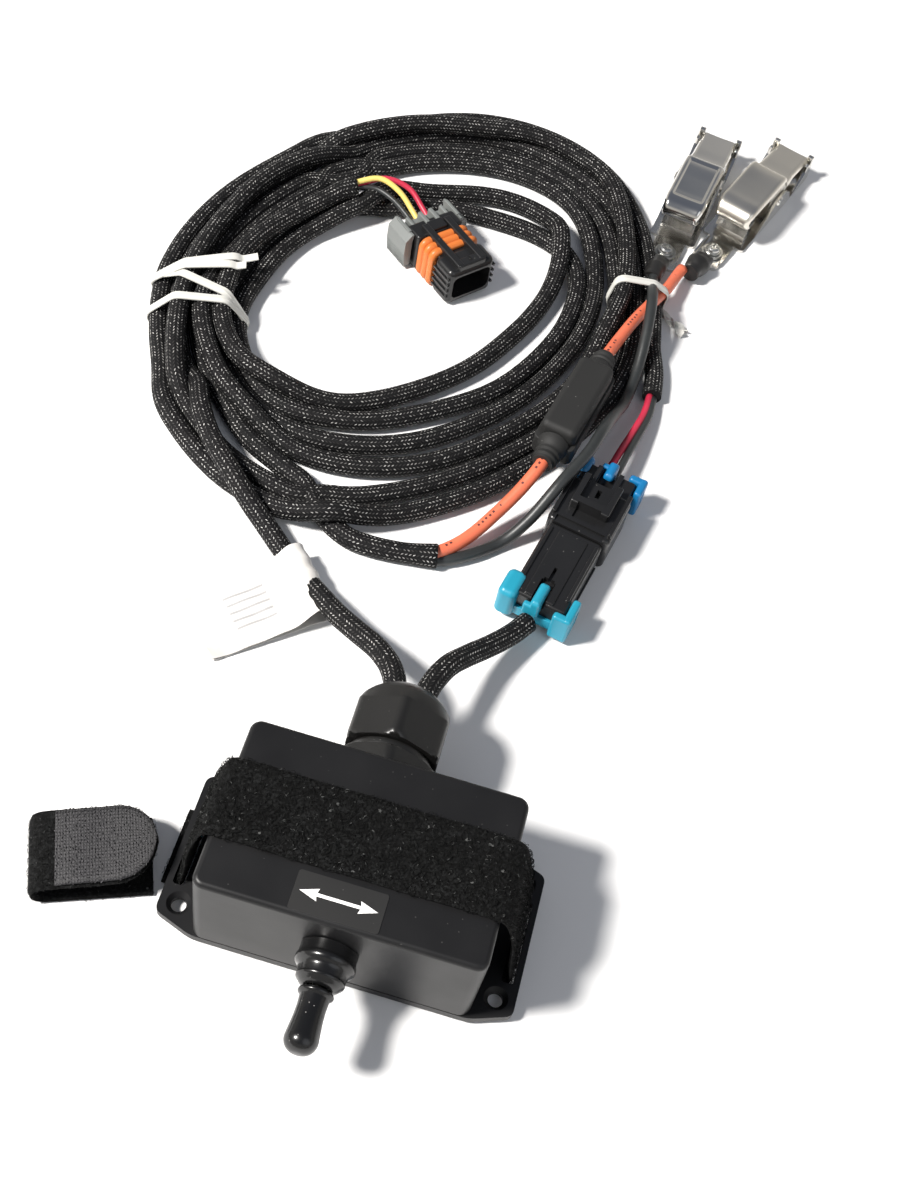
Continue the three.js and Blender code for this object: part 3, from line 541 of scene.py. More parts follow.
# ---------------------------------------------------------------------------------------------------
# Control box. Two satin black ABS mouldings, a deep box and a flat base plate with two ears, held
# together by four zinc screws from below. A film label with a plain double arrow is stuck on top.
# ---------------------------------------------------------------------------------------------------
def moulded_group():
    """A moulded surface: slow clouds of tone, fine grain, and specks of lint where it faces up."""
    tree, given, out = group_tree(
        "moulded_surface",
        [("Grain", "NodeSocketFloat", 2400.0), ("Lint", "NodeSocketFloat", 0.3)],
        [("Tone", "NodeSocketFloat"), ("Lint", "NodeSocketFloat"), ("Height", "NodeSocketFloat")],
    )
    spot = node(tree, "ShaderNodeTexCoord").outputs["Object"]
    cloud = node(tree, "ShaderNodeTexNoise", Vector=spot, Scale=48.0, Detail=4.0).outputs[0]
    grain = node(tree, "ShaderNodeTexNoise", Vector=spot, Scale=given["Grain"], Detail=2.0).outputs[0]
    specks = node(tree, "ShaderNodeTexVoronoi", Vector=spot, Scale=560.0)
    chosen = node(tree, "ShaderNodeSeparateColor", i0=specks.outputs["Color"]).outputs[0]
    size = times(tree, more_than(tree, chosen, 0.8), 0.1)
    speck = less_than(tree, specks.outputs["Distance"], size)
    normal = node(tree, "ShaderNodeNewGeometry").outputs["Normal"]
    facing = mapped(tree, node(tree, "ShaderNodeSeparateXYZ", i0=normal).outputs[2], i1=0.1, i2=0.8)
    lint = times(tree, times(tree, speck, facing), given["Lint"])
    tree.links.new(cloud, out["Tone"])
    tree.links.new(lint, out["Lint"])
    tree.links.new(grain, out["Height"])
    return tree


moulded = moulded_group()


def moulding_material(name, colour, roughness, lint=0.3, grain=2400.0, depth=0.00003, metallic=0.0,
        spread=0.2):
    material = plain_material(name, colour, roughness, metallic)
    tree = material.node_tree
    skin = placed(tree, moulded, Grain=grain, Lint=lint)
    dark, light = (tuple(value * k for value in colour) + (1,) for k in (1 - spread, 1 + spread))
    base = mixed(tree, skin["Tone"], dark, light)
    dusty = mixed(tree, skin["Lint"], base, (0.4, 0.39, 0.37, 1))
    rough = mapped(tree, skin["Tone"], i3=max(roughness - 0.09, 0.04), i4=roughness + 0.09)
    return surfaced(material, dusty, skin["Height"], 0.5, depth, rough)


satin_abs = moulding_material("satin_black_abs", (0.0072, 0.0072, 0.0078), 0.42, 0.1)
satin_abs.node_tree.nodes["Principled BSDF"].inputs["Specular IOR Level"].default_value = 0.3
zinc_plate = moulding_material("zinc_plate", (0.56, 0.56, 0.54), 0.32, 0.0, 1500.0, 0.00002, 1.0)
label_film = moulding_material("label_film", (0.0062, 0.006, 0.006), 0.6, 0.1, 900.0, 0.00001)
label_ink = moulding_material("label_ink", (0.86, 0.85, 0.83), 0.55, 0.0, 900.0, 0.00001, 0.0, 0.04)


def block(low, high):
    corners = [(x, y, z) for x in (low[0], high[0]) for y in (low[1], high[1]) for z in (low[2], high[2])]
    return corners, [(0, 1, 3, 2), (4, 6, 7, 5), (0, 4, 5, 1), (2, 3, 7, 6), (0, 2, 6, 4), (1, 5, 7, 3)]


def stacked(rings):
    """A closed shape through rings of equal length, capped at both ends."""
    count = len(rings[0])
    faces = [tuple(range(count))[::-1], tuple(range((len(rings) - 1) * count, len(rings) * count))]
    for i in range(len(rings) - 1):
        for k in range(count):
            n = (k + 1) % count
            faces.append((i * count + k, i * count + n, (i + 1) * count + n, (i + 1) * count + k))
    return [tuple(map(float, point)) for ring in rings for point in ring], faces


def rounded_outline(half_x, half_y, corner, steps=6):
    """A rectangle's outline about the middle, its corners turned in arcs."""
    outline = []
    for k, (side_x, side_y) in enumerate(((1, 1), (-1, 1), (-1, -1), (1, -1))):
        for i in range(steps + 1):
            angle = math.radians(90 * (k + i / steps))
            x = side_x * (half_x - corner) + corner * math.cos(angle)
            y = side_y * (half_y - corner) + corner * math.sin(angle)
            outline.append((x, y))
    return outline


def pillow(middle, half_x, half_y, corner, low, high, top=0.0, bottom=0.0, steps=5):
    """A block with round upright corners, and rolled top and bottom edges."""
    sweep = np.linspace(0, math.pi / 2, steps)
    rows = [(0, low)]
    if bottom:
        rows = [(bottom * (1 - math.sin(a)), low + bottom * (1 - math.cos(a))) for a in sweep]
    rows += [(top * (1 - math.cos(a)), high - top * (1 - math.sin(a)))
        for a in sweep] if top else [(0, high)]
    rings = []
    for inset, z in rows:
        outline = rounded_outline(half_x - inset, half_y - inset, max(corner - inset, 0.2))
        rings.append([(middle[0] + x, middle[1] + y, z) for x, y in outline])
    return stacked(rings)


def rod(start, end, radius, far=None, sides=28):
    """A round bar, or a cone where the far radius differs."""
    start, end = Vector(start), Vector(end)
    spin = (end - start).to_track_quat("Z", "X")
    rings = []
    for place, reach in ((start, radius), (end, radius if far is None else far)):
        turns = [2 * math.pi * k / sides for k in range(sides)]
        rings.append([place + spin @ Vector((reach * math.cos(a), reach * math.sin(a), 0)) for a in turns])
    return stacked(rings)


def pushed(outline, axis, low, high):
    """A flat outline pushed along x, y or z, its points given in the other two."""
    order = {"x": (2, 0, 1), "y": (0, 2, 1), "z": (0, 1, 2)}[axis]
    rings = [[(*point, height) for point in outline] for height in (low, high)]
    return stacked([[tuple(point[i] for i in order) for point in ring] for ring in rings])


def loose_piece(name, shape):
    """An object from points and faces, its doubles merged and its faces turned out."""
    mesh = bpy.data.meshes.new(name)
    mesh.from_pydata(*shape[:1], [], shape[1])
    work = bmesh.new()
    work.from_mesh(mesh)
    bmesh.ops.remove_doubles(work, verts=work.verts, dist=1e-5)
    bmesh.ops.recalc_face_normals(work, faces=work.faces)
    work.to_mesh(mesh)
    work.free()
    piece = bpy.data.objects.new(name, mesh)
    bpy.context.scene.collection.objects.link(piece)
    return piece


def settle_modifiers(piece):
    """Turns a piece's live modifiers into a plain mesh of its own."""
    view = bpy.context.evaluated_depsgraph_get()
    shaped = piece.evaluated_get(view)
    mesh = bpy.data.meshes.new_from_object(shaped, preserve_all_data_layers=True, depsgraph=view)
    piece.modifiers.clear()
    piece.data = mesh
    return piece


def seat(x=0.0, y=0.0, z=0.0, angle=0.0):
    """Where a piece's own frame sits: place in mm, and turn about the upright in degrees."""
    turned = Matrix.Rotation(math.radians(angle), 4, "Z")
    return Matrix.Scale(0.001, 4) @ Matrix.Translation((x, y, z)) @ turned


def machined(name, place, base, *steps, ease=0.3, rings=2, sharp=32.0):
    """Joins shapes to a base and cuts others from it, in turn, eases the edges, and sets it in place."""
    piece = loose_piece(name, base)
    for operation, shapes in steps:
        tools = bpy.data.collections.new("tools")
        bpy.context.scene.collection.children.link(tools)
        for shape in shapes:
            tool = loose_piece("tool", shape)
            bpy.context.scene.collection.objects.unlink(tool)
            tools.objects.link(tool)
        change = piece.modifiers.new("change", "BOOLEAN")
        change.operation = operation
        change.operand_type = "COLLECTION"
        change.collection = tools
        change.solver = "EXACT"
        settle_modifiers(piece)
        for tool in list(tools.objects):
            bpy.data.objects.remove(tool)
        bpy.data.collections.remove(tools)
    work = bmesh.new()
    work.from_mesh(piece.data)
    bmesh.ops.remove_doubles(work, verts=work.verts, dist=2e-3)
    bmesh.ops.dissolve_limit(work, angle_limit=math.radians(0.6), verts=work.verts, edges=work.edges)
    work.to_mesh(piece.data)
    work.free()
    if ease:
        eased = piece.modifiers.new("eased", "BEVEL")
        eased.width = ease
        eased.segments = rings
        eased.limit_method = "ANGLE"
        eased.angle_limit = math.radians(sharp)
        eased.miter_outer = "MITER_ARC"
    return finished(piece, place)


def finished(piece, place, sharp=42.0):
    """Shades a piece smooth with its flats kept flat, and puts it in its place."""
    settle_modifiers(piece)
    piece.data.shade_smooth()
    piece.data.set_sharp_from_angle(angle=math.radians(sharp))
    flats = piece.modifiers.new("flats", "WEIGHTED_NORMAL")
    flats.keep_sharp = True
    settle_modifiers(piece)
    piece.data.transform(place)
    return piece


def fitted(piece, material, body, slot, *stands_for):
    """Gives a piece its finish and the body that it rides on, and hides the nodes that it stands for. The
    slot is not used.
    """
    piece.data.materials.clear()
    piece.data.materials.append(material)
    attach(piece, body)
    if stands_for:
        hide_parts(*stands_for)
    return piece


HALF_X, HALF_Y = 42.5, 27.5  # the box's half length and half depth
PLATE_LOW, PLATE_HIGH, BOX_LOW, BOX_HIGH = 2.0, 5.0, 5.3, 43.0
WALL, POST_X, POST_Y = 2.5, 36.5, 21.5
GLAND_X, GLAND_Z, TOGGLE_X, TOGGLE_Z = -1.5, 23.5, -1.0, 26.0
corners = [(POST_X * x, POST_Y * y) for x in (-1, 1) for y in (-1, 1)]

outside = pillow((0, 0), HALF_X, HALF_Y, 3.5, BOX_LOW, BOX_HIGH, top=1.7, bottom=0.4, steps=6)
hollow = pillow((0, 0), HALF_X - WALL, HALF_Y - WALL, 1.5, BOX_LOW - 2, BOX_HIGH - WALL, top=0.8)
posts = [rod((x, y, BOX_LOW + 0.1), (x, y, BOX_HIGH - WALL + 0.6), 3.2) for x, y in corners]
holes = [rod((x, y, BOX_LOW - 2), (x, y, BOX_LOW + 14), 1.5, sides=16) for x, y in corners]
holes.append(rod((GLAND_X, 20, GLAND_Z), (GLAND_X, 40, GLAND_Z), 12.5, sides=48))
holes.append(rod((TOGGLE_X, -40, TOGGLE_Z), (TOGGLE_X, -20, TOGGLE_Z), 6.2, sides=40))
box_shell = machined("box_shell", seat(), outside, ("DIFFERENCE", [hollow]), ("UNION", posts),
    ("DIFFERENCE", holes), ease=0.15)
fitted(box_shell, satin_abs, "controller", "abs_black", "enclosure_box")

EAR_X, EAR_Y, HOLE_X, HOLE_Y, SLOT_X = 55.0, 23.0, 49.0, 19.0, 51.2
plate_corners = [(HALF_X, -HALF_Y), (EAR_X, -EAR_Y), (EAR_X, EAR_Y), (HALF_X, HALF_Y)]
plate_corners += [(-x, y) for x, y in plate_corners[::-1]]
plate_outline = []
for i, corner in enumerate(plate_corners):
    before, after = Vector(plate_corners[i - 1]), Vector(plate_corners[(i + 1) % len(plate_corners)])
    corner = Vector(corner)
    start, end = (corner + (other - corner).normalized() * 2.2 for other in (before, after))
    for t in np.linspace(0, 1, 6):
        plate_outline.append(tuple((1 - t) ** 2 * start + 2 * t * (1 - t) * corner + t * t * end))
cuts = []
for x in (-1, 1):
    cuts.append(pillow((x * SLOT_X, 0), 1.9, 13.5, 1.0, 0, 8))
    for y in (-1, 1):
        cuts.append(rod((x * HOLE_X, y * HOLE_Y, 0), (x * HOLE_X, y * HOLE_Y, 8), 2.3))
        cuts.append(rod((x * HOLE_X, y * HOLE_Y, 3.6), (x * HOLE_X, y * HOLE_Y, 5.1), 2.3, 3.8))
cuts += [rod((x, y, 1.9), (x, y, 3.9), 3.1, 1.5) for x, y in corners]
cuts += [rod((x, y, 1), (x, y, 7), 1.5, sides=16) for x, y in corners]
base_flange = machined("base_flange", seat(), pushed(plate_outline, "z", PLATE_LOW, PLATE_HIGH),
    ("DIFFERENCE", cuts), ease=0.45)
fitted(base_flange, satin_abs, "controller", "abs_black", "base_plate")
for k, (x, y) in enumerate(corners):
    shank = rod((x, y, 3.6), (x, y, 16), 1.2, sides=20)
    cross = [block((x - 1.5, y - 0.35, 1.9), (x + 1.5, y + 0.35, 3.1)),
        block((x - 0.35, y - 1.5, 1.9), (x + 0.35, y + 1.5, 3.1))]
    screw = machined(f"cover_screw_{k + 1}", seat(), rod((x, y, 2.15), (x, y, 3.8), 2.75, 1.2),
        ("UNION", [shank]), ("DIFFERENCE", cross), ease=0.08)
    fitted(screw, zinc_plate, "controller", "zinc", f"base_screw_{k + 1}")

LABEL_X, LABEL_Y, ARROW = -2.0, -20.2, 22.6
label = machined("film_label", seat(LABEL_X, LABEL_Y),
    pillow((0, 0), 13, 6, 0.8, BOX_HIGH + 0.02, BOX_HIGH + 0.2), ease=0.06)
fitted(label, label_film, "controller", "label_black", "arrow_label")
head, shaft, tip = 5.4, 0.5, 1.9
arrow_outline = [(ARROW / 2, 0), (ARROW / 2 - head, tip), (ARROW / 2 - head + 0.4, shaft)]
arrow_outline += [(-x, y) for x, y in arrow_outline[:0:-1]] + [(-ARROW / 2, 0)]
arrow_outline += [(x, -y) for x, y in arrow_outline[-2:0:-1]]
arrow = machined("arrow_print", seat(LABEL_X, LABEL_Y),
    pushed(arrow_outline, "z", BOX_HIGH + 0.15, BOX_HIGH + 0.24), ease=0.03)
fitted(arrow, label_ink, "controller", "tie_white")

# ---------------------------------------------------------------------------------------------------
# Toggle. A spring-return switch behind the front wall, its lever under a moulded gloss rubber boot: a
# thick ring screwed on the bushing, and a sleeve with a bead and a round end that tilts with the lever.
# ---------------------------------------------------------------------------------------------------
gloss_rubber = moulding_material("gloss_rubber", (0.005, 0.005, 0.0053), 0.22, 0.4, 700.0, 0.00005)
black_nylon = moulding_material("satin_black_nylon", (0.0072, 0.007, 0.0066), 0.36, 0.12, 1500.0, 0.00003)
nickel = moulding_material("bright_nickel", (0.66, 0.645, 0.61), 0.13, 0.0, 260.0, 0.00002, 1.0, 0.06)
silvered_brass = moulding_material("silvered_brass", (0.6, 0.47, 0.24), 0.32, 0.0, 800.0, 0.00002, 1.0)
for name, finish in (("toggle_bushing", zinc_plate), ("switch_body", black_nylon), ("toggle_lever", nickel),
                     ("rocker_contact", silvered_brass)):
    nodes[name].material_slots[0].material = finish
for k in (1, 2, 3):
    nodes[f"switch_terminal_{k}"].material_slots[0].material = silvered_brass


def turned_ring(name, rows, x, z, flats=0.0, sides=72, round_to=0.0, smooth_steps=0):
    """A ring turned about the y axis from a closed outline of (y, radius); a third value marks a hex row."""
    if smooth_steps:
        loop = np.array([[y, r, 0] for y, r in rows + rows[:1]], float)
        rows = [tuple(row[:2]) for row in smooth_line(loop, smooth_steps)[:-1]]
    rings = []
    for row in rows:
        ring = []
        for k in range(sides):
            angle = 2 * math.pi * k / sides
            reach = row[1]
            if len(row) > 2:
                fold = (angle + math.pi / 6) % (math.pi / 3) - math.pi / 6
                flat = min(flats / 2 / math.cos(fold), flats / math.sqrt(3) - round_to)
                blend = 0.35
                reach = min(flat, reach) - max(blend - abs(flat - reach), 0) ** 2 / (4 * blend)
            ring.append((x + reach * math.cos(angle), row[0], z + reach * math.sin(angle)))
        rings.append(ring)
    points, faces = stacked(rings + rings[:1])
    return finished(loose_piece(name, (points, faces[2:])), seat())


def arc(middle_y, middle_r, radius, start, end, steps=6):
    turns = np.radians(np.linspace(start, end, steps))
    return [(middle_y + radius * math.sin(a), middle_r + radius * math.cos(a)) for a in turns]


WALL_FACE = -27.8
collar = [(WALL_FACE, 5.9), (WALL_FACE, 8.4)] + arc(-32.0, 6.9, 2.0, 40, -60, 7) + [(-34.2, 7.5),
    (-34.9, 7.3)]
collar += arc(-36.9, 6.2, 1.0, 30, -70, 6) + [(-38.5, 6.0), (-38.9, 5.6), (-39.4, 4.8), (-39.6, 4.35),
    (-37.4, 4.4), (-37.2, 5.9)]
boot_ring = turned_ring("boot_ring", collar, TOGGLE_X, TOGGLE_Z)
fitted(boot_ring, gloss_rubber, "controller", "rubber_black", "boot_base")
sleeve = [(-41.0, 2.7), (-40.5, 4.1)] + arc(-40.95, 4.5, 0.75, 60, -60, 6) + [(-42.1, 4.35), (-45, 4.2),
    (-48, 4.3)]
sleeve += [(-51, 4.6), (-53.4, 4.85)] + arc(-54.2, 0.9, 4.0, 5, -85, 12) + [(-58.2, 0.35), (-57.0, 0.3)]
sleeve += [(-56.6, 2.4), (-55.6, 3.15), (-50, 3.15), (-49.1, 2.6)]
boot_sleeve = turned_ring("boot_sleeve", sleeve, TOGGLE_X, TOGGLE_Z)
work = bmesh.new()
work.from_mesh(boot_sleeve.data)
for tip in (-0.0582, -0.0570):
    bmesh.ops.pointmerge(work, verts=[v for v in work.verts if abs(v.co.y - tip) < 5e-6],
        merge_co=(TOGGLE_X / 1000, tip, TOGGLE_Z / 1000))
work.to_mesh(boot_sleeve.data)
work.free()
fitted(boot_sleeve, gloss_rubber, "lever", "rubber_black", "toggle_boot")

# ---------------------------------------------------------------------------------------------------
# Strap. One inch hook-and-loop webbing: black napped loop pile on its outer side, threaded through both
# ear slots and over the box, with a tail folded back on itself under a round-ended patch of hook tape.
# ---------------------------------------------------------------------------------------------------
STRAP_WIDTH, STRAP_THICK = 25.4, 1.7


def ribbon(name, path, width, thick, place, round_end=0.0, step=1.1, across=16, ripple=0.0, inner_nap=0.0):
    """A band along (x, z) points, its long edges rounded and its outer side marked for pile, in mm."""
    line = smooth_line([(x, 0, z) for x, z in path], step)
    run = np.concatenate([[0], np.cumsum(np.linalg.norm(np.diff(line, axis=0), axis=1))])
    along = np.gradient(line, axis=0)
    along /= np.linalg.norm(along, axis=1)[:, None]
    band = bmesh.new()
    pile = band.faces.layers.float.new("pile")
    uv = band.loops.layers.uv.new("weave")
    rings, marks = [], []
    for place_at, way, far in zip(line, along, run):
        left = max(run[-1] - far, 0.0)
        half = width / 2
        if round_end and left < round_end:
            chord = math.sqrt(max(round_end ** 2 - (round_end - left) ** 2, 0))
            half = max(chord - (round_end - half), 0.8)
        out = Vector((-way[2], 0, way[0]))
        ring = []
        for side in (1, -1):
            for k in range(across + 1):
                y = half * (1 - 2 * k / across) * side
                edge = max(abs(y) / half - 0.9, 0) / 0.1
                lift = thick / 2 * math.sqrt(max(1 - edge * edge, 0.03)) * side
                wave = ripple * math.sin(far * 0.21 + 1.3) * (y / half) ** 2 if place_at[2] > 3 else 0.0
                ring.append(band.verts.new(Vector(place_at) + Vector((0, y, 0)) + out * (lift + wave)))
        rings.append(ring)
        marks.append(far)
    count = 2 * (across + 1)
    for i in range(len(rings) - 1):
        for k in range(count):
            n = (k + 1) % count
            face = band.faces.new((rings[i][k], rings[i][n], rings[i + 1][n], rings[i + 1][k]))
            outer = k < across
            shows = rings[i][k].co.z > 1.5 or out.z * (1 if outer else -1) > 0
            face[pile] = (1.0 if outer else inner_nap) if shows else 0.0
            face.smooth = True
            for loop, (u, v) in zip(face.loops, ((k, i), (k + 1, i), (k + 1, i + 1), (k, i + 1))):
                loop[uv].uv = (u * width / across / 1000, marks[v] / 1000)
    band.faces.new(rings[0][::-1])
    band.faces.new(rings[-1])
    bmesh.ops.remove_doubles(band, verts=band.verts, dist=0.02)
    bmesh.ops.recalc_face_normals(band, faces=band.faces)
    piece = piece_from(name, band)
    piece.data.transform(place)
    return piece


def growth_tree(name, inputs):
    """A geometry tree that takes a mesh, a finish and its own named values."""
    tree = bpy.data.node_groups.new(name, "GeometryNodeTree")
    tree.interface.new_socket("Geometry", in_out="INPUT", socket_type="NodeSocketGeometry")
    for label, kind, value in inputs:
        tree.interface.new_socket(label, in_out="INPUT", socket_type=kind).default_value = value
    tree.interface.new_socket("Finish", in_out="INPUT", socket_type="NodeSocketMaterial")
    tree.interface.new_socket("Geometry", in_out="OUTPUT", socket_type="NodeSocketGeometry")
    return tree, tree.nodes.new("NodeGroupInput").outputs


def set_among(tree, given, points, shape, **turn_and_size):
    """Sets a shape on every point, gives it the finish, and joins it to the mesh that came in."""
    set_out = node(tree, "GeometryNodeInstanceOnPoints", Points=points, Instance=shape, **turn_and_size)
    real = node(tree, "GeometryNodeRealizeInstances", Geometry=set_out.outputs[0])
    dressed = node(tree, "GeometryNodeSetMaterial", Geometry=real.outputs[0], Material=given["Finish"])
    both = node(tree, "GeometryNodeJoinGeometry")
    tree.links.new(dressed.outputs[0], both.inputs[0])
    tree.links.new(given["Geometry"], both.inputs[0])
    tree.links.new(both.outputs[0], tree.nodes.new("NodeGroupOutput").inputs[0])
    return tree


def bent_yarn(tree, height, yarn, start, sweep, tilt, sides):
    """A short arch of yarn, standing up."""
    arch = node(tree, "GeometryNodeCurveArc", Resolution=5, Radius=height, Start_Angle=start,
        Sweep_Angle=sweep)
    upright = node(tree, "GeometryNodeTransform", Geometry=arch.outputs[0], Rotation=(math.pi / 2, 0, tilt))
    section = node(tree, "GeometryNodeCurvePrimitiveCircle", Resolution=sides, Radius=yarn)
    return node(tree, "GeometryNodeCurveToMesh", Curve=upright.outputs[0], Profile_Curve=section.outputs[0],
        Fill_Caps=True).outputs[0]


def scattered(tree, given, points, lean_low, lean_high):
    """The turn of each point, with a random lean."""
    lean = node(tree, "FunctionNodeRandomValue", p_data_type="FLOAT_VECTOR", i0=lean_low, i1=lean_high,
        Seed=given["Seed"])
    return node(tree, "FunctionNodeRotateRotation", p_rotation_space="LOCAL", i0=points.outputs["Rotation"],
        i1=lean.outputs[0]).outputs[0]


def pile_mark(tree):
    return node(tree, "GeometryNodeInputNamedAttribute", p_data_type="FLOAT",
        Name="pile").outputs["Attribute"]


def pile_tree():
    """Nap of small wire loops scattered on the faces marked as pile, joined to the webbing."""
    tree, given = growth_tree("loop_pile", [
        ("Loops", "NodeSocketFloat", 2.2e6), ("Loop Height", "NodeSocketFloat", 0.0006),
        ("Yarn", "NodeSocketFloat", 0.00007),
        ("Seed", "NodeSocketInt", 3),
    ])
    marked = pile_mark(tree)
    amount = times(tree, marked, given["Loops"])
    spots = node(tree, "GeometryNodeDistributePointsOnFaces", Mesh=given["Geometry"], Density=amount,
        Seed=given["Seed"])
    loop = bent_yarn(tree, given["Loop Height"], given["Yarn"], -0.5, 4.1, 0.0, 3)
    turned = scattered(tree, given, spots, (-0.7, -0.7, -3.14), (0.7, 0.7, 3.14))
    size = node(tree, "FunctionNodeRandomValue", p_data_type="FLOAT", i2=0.55, i3=1.35, Seed=given["Seed"])
    return set_among(tree, given, spots.outputs["Points"], loop, Rotation=turned, Scale=size.outputs[1])


loop_pile = pile_tree()


def grown(piece, tree, **values):
    """Runs a geometry tree on a piece, with its inputs set by name, and keeps the plain mesh."""
    growth = piece.modifiers.new("growth", "NODES")
    growth.node_group = tree
    for item in tree.interface.items_tree:
        if item.item_type == "SOCKET" and item.in_out == "INPUT" and item.name.replace(" ", "_") in values:
            growth[item.identifier] = values[item.name.replace(" ", "_")]
    return settle_modifiers(piece)


def pile_material(name, colour, spark):
    """Napped yarn: no gloss, a soft change of tone, and a bright fleck here and there."""
    material = plain_material(name, colour, 0.85)
    tree = material.node_tree
    tree.nodes["Principled BSDF"].inputs["Specular IOR Level"].default_value = 0.15
    spot = node(tree, "ShaderNodeTexCoord").outputs["Object"]
    tone = node(tree, "ShaderNodeTexNoise", Vector=spot, Scale=90.0, Detail=3.0).outputs[0]
    fleck = node(tree, "ShaderNodeTexVoronoi", Vector=spot, Scale=1500.0)
    chosen = node(tree, "ShaderNodeSeparateColor", i0=fleck.outputs["Color"]).outputs[0]
    bright = more_than(tree, chosen, spark)
    dark, light = (tuple(value * k for value in colour) + (1,) for k in (0.25, 2.4))
    tuft = times(tree, raised(tree, chosen, 2.5), plus(tree, tone, 0.4))
    base = mixed(tree, tuft, dark, light)
    lit = mixed(tree, bright, base, (0.09, 0.092, 0.09, 1))
    fine = node(tree, "ShaderNodeTexNoise", Vector=spot, Scale=2600.0, Detail=2.0).outputs[0]
    return surfaced(material, lit, fine, 1.0, 0.0004)


pile_black = pile_material("loop_pile_black", (0.0085, 0.009, 0.0088), 0.965)
web_black = pile_material("strap_web_black", (0.005, 0.0052, 0.0053), 0.997)

TOP, UNDER = 44.15, 0.85  # height of the band's middle over the box and under the plate
over = [(-6, UNDER), (8, UNDER), (28, UNDER), (46.6, UNDER), (49.6, 0.9), (51.4, 2.0), (51.6, 4.2),
    (50.4, 13), (48.9, 24), (46.8, 35)]
over += [(44.9, 41.6), (43.2, 43.6), (40.6, TOP), (20, TOP + 0.1), (0, TOP), (-20, TOP + 0.1), (-40.6, TOP),
    (-43.2, 43.6)]
over += [(-44.9, 41.6), (-46.6, 35), (-48.6, 24), (-50.0, 13), (-51.0, 4.2), (-51.0, 2.0), (-51.9, 1.1),
    (-53.8, UNDER), (-57, UNDER)]
strap_over = ribbon("strap_over_box", over[::-1], STRAP_WIDTH, STRAP_THICK - 0.3, seat(), ripple=0.25)
fitted(strap_over, web_black, "controller", "pile_black", "strap_band")
grown(strap_over, loop_pile, Loops=1.05e6, Loop_Height=0.0007, Yarn=0.000075, Seed=5, Finish=pile_black)

TAIL = seat(-62.3, -5.5, 0, 22)
FOLD_X, FOLD_R = -31, 4.4
tail = [(0, UNDER), (-8, UNDER), (-16, UNDER), (-24, UNDER)]
tail += [(FOLD_X + FOLD_R * math.cos(math.radians(a)), UNDER + FOLD_R + FOLD_R * math.sin(math.radians(a)))
    for a in range(-90, -271, -22)]
tail += [(-22, UNDER + 9.3), (-14, UNDER + 9.6), (-6, UNDER + 10.4), (2, UNDER + 11.4)]
strap_fold = ribbon("strap_folded_tail", tail, STRAP_WIDTH, STRAP_THICK - 0.3, TAIL, round_end=12.7,
    inner_nap=0.7)
fitted(strap_fold, web_black, "controller", "pile_black", "strap_tail")
grown(strap_fold, loop_pile, Loops=0.8e6, Loop_Height=0.0005, Yarn=0.00007, Seed=8, Finish=pile_black)

hook_lift = UNDER + STRAP_THICK / 2 + 0.45
patch = [(-28, hook_lift + 8.7), (-22, hook_lift + 9.3), (-14, hook_lift + 9.6), (-6, hook_lift + 10.4),
    (1.6, hook_lift + 11.35)]
hook_patch = ribbon("hook_tape_patch", patch, STRAP_WIDTH - 1.2, 0.55, TAIL, round_end=12.1)


def hook_tree():
    """Rows of small bent hooks on the faces marked as pile, evenly apart."""
    tree, given = growth_tree("hook_rows", [
        ("Pitch", "NodeSocketFloat", 0.001), ("Hook Height", "NodeSocketFloat", 0.0005),
        ("Yarn", "NodeSocketFloat", 0.00011),
        ("Seed", "NodeSocketInt", 2),
    ])
    marked = pile_mark(tree)
    spots = node(tree, "GeometryNodeDistributePointsOnFaces", p_distribute_method="POISSON",
        Mesh=given["Geometry"], Distance_Min=given["Pitch"], Density_Max=3e6, Density_Factor=marked,
        Seed=given["Seed"])
    hook = bent_yarn(tree, given["Hook Height"], given["Yarn"], 0.0, 3.6, 0.4, 4)
    turned = scattered(tree, given, spots, (-0.2, -0.2, -0.5), (0.2, 0.2, 0.5))
    return set_among(tree, given, spots.outputs["Points"], hook, Rotation=turned)


def weave_material(name, colour, light_colour):
    """Hook tape's ground: twill ribs across the tape, grey yarn over black."""
    material = plain_material(name, colour, 0.6)
    tree = material.node_tree
    place = laid_out(tree, "weave")
    rib = fraction(tree, divided(tree, place[0], 0.00105))
    rib = magnitude(tree, minus(tree, rib, 0.5))
    slant = plus(tree, divided(tree, place[1], 0.00085), times(tree, rib, 1.2))
    bar = magnitude(tree, minus(tree, fraction(tree, slant), 0.5))
    yarn = times(tree, less_than(tree, bar, 0.3), less_than(tree, rib, 0.36))
    woven = mixed(tree, yarn, (*colour, 1), (*light_colour, 1))
    return surfaced(material, woven, yarn, 0.9, 0.0003)


hook_ground = weave_material("hook_tape_ground", (0.008, 0.008, 0.009), (0.045, 0.043, 0.046))
hook_yarn = pile_material("hook_yarn", (0.07, 0.067, 0.072), 0.9)
hook_yarn.node_tree.nodes["Principled BSDF"].inputs["Roughness"].default_value = 0.5
fitted(hook_patch, hook_ground, "controller", "hook_black", "strap_hook_pad")
grown(hook_patch, hook_tree(), Pitch=0.00085, Hook_Height=0.00034, Yarn=0.00011, Seed=4, Finish=hook_yarn)

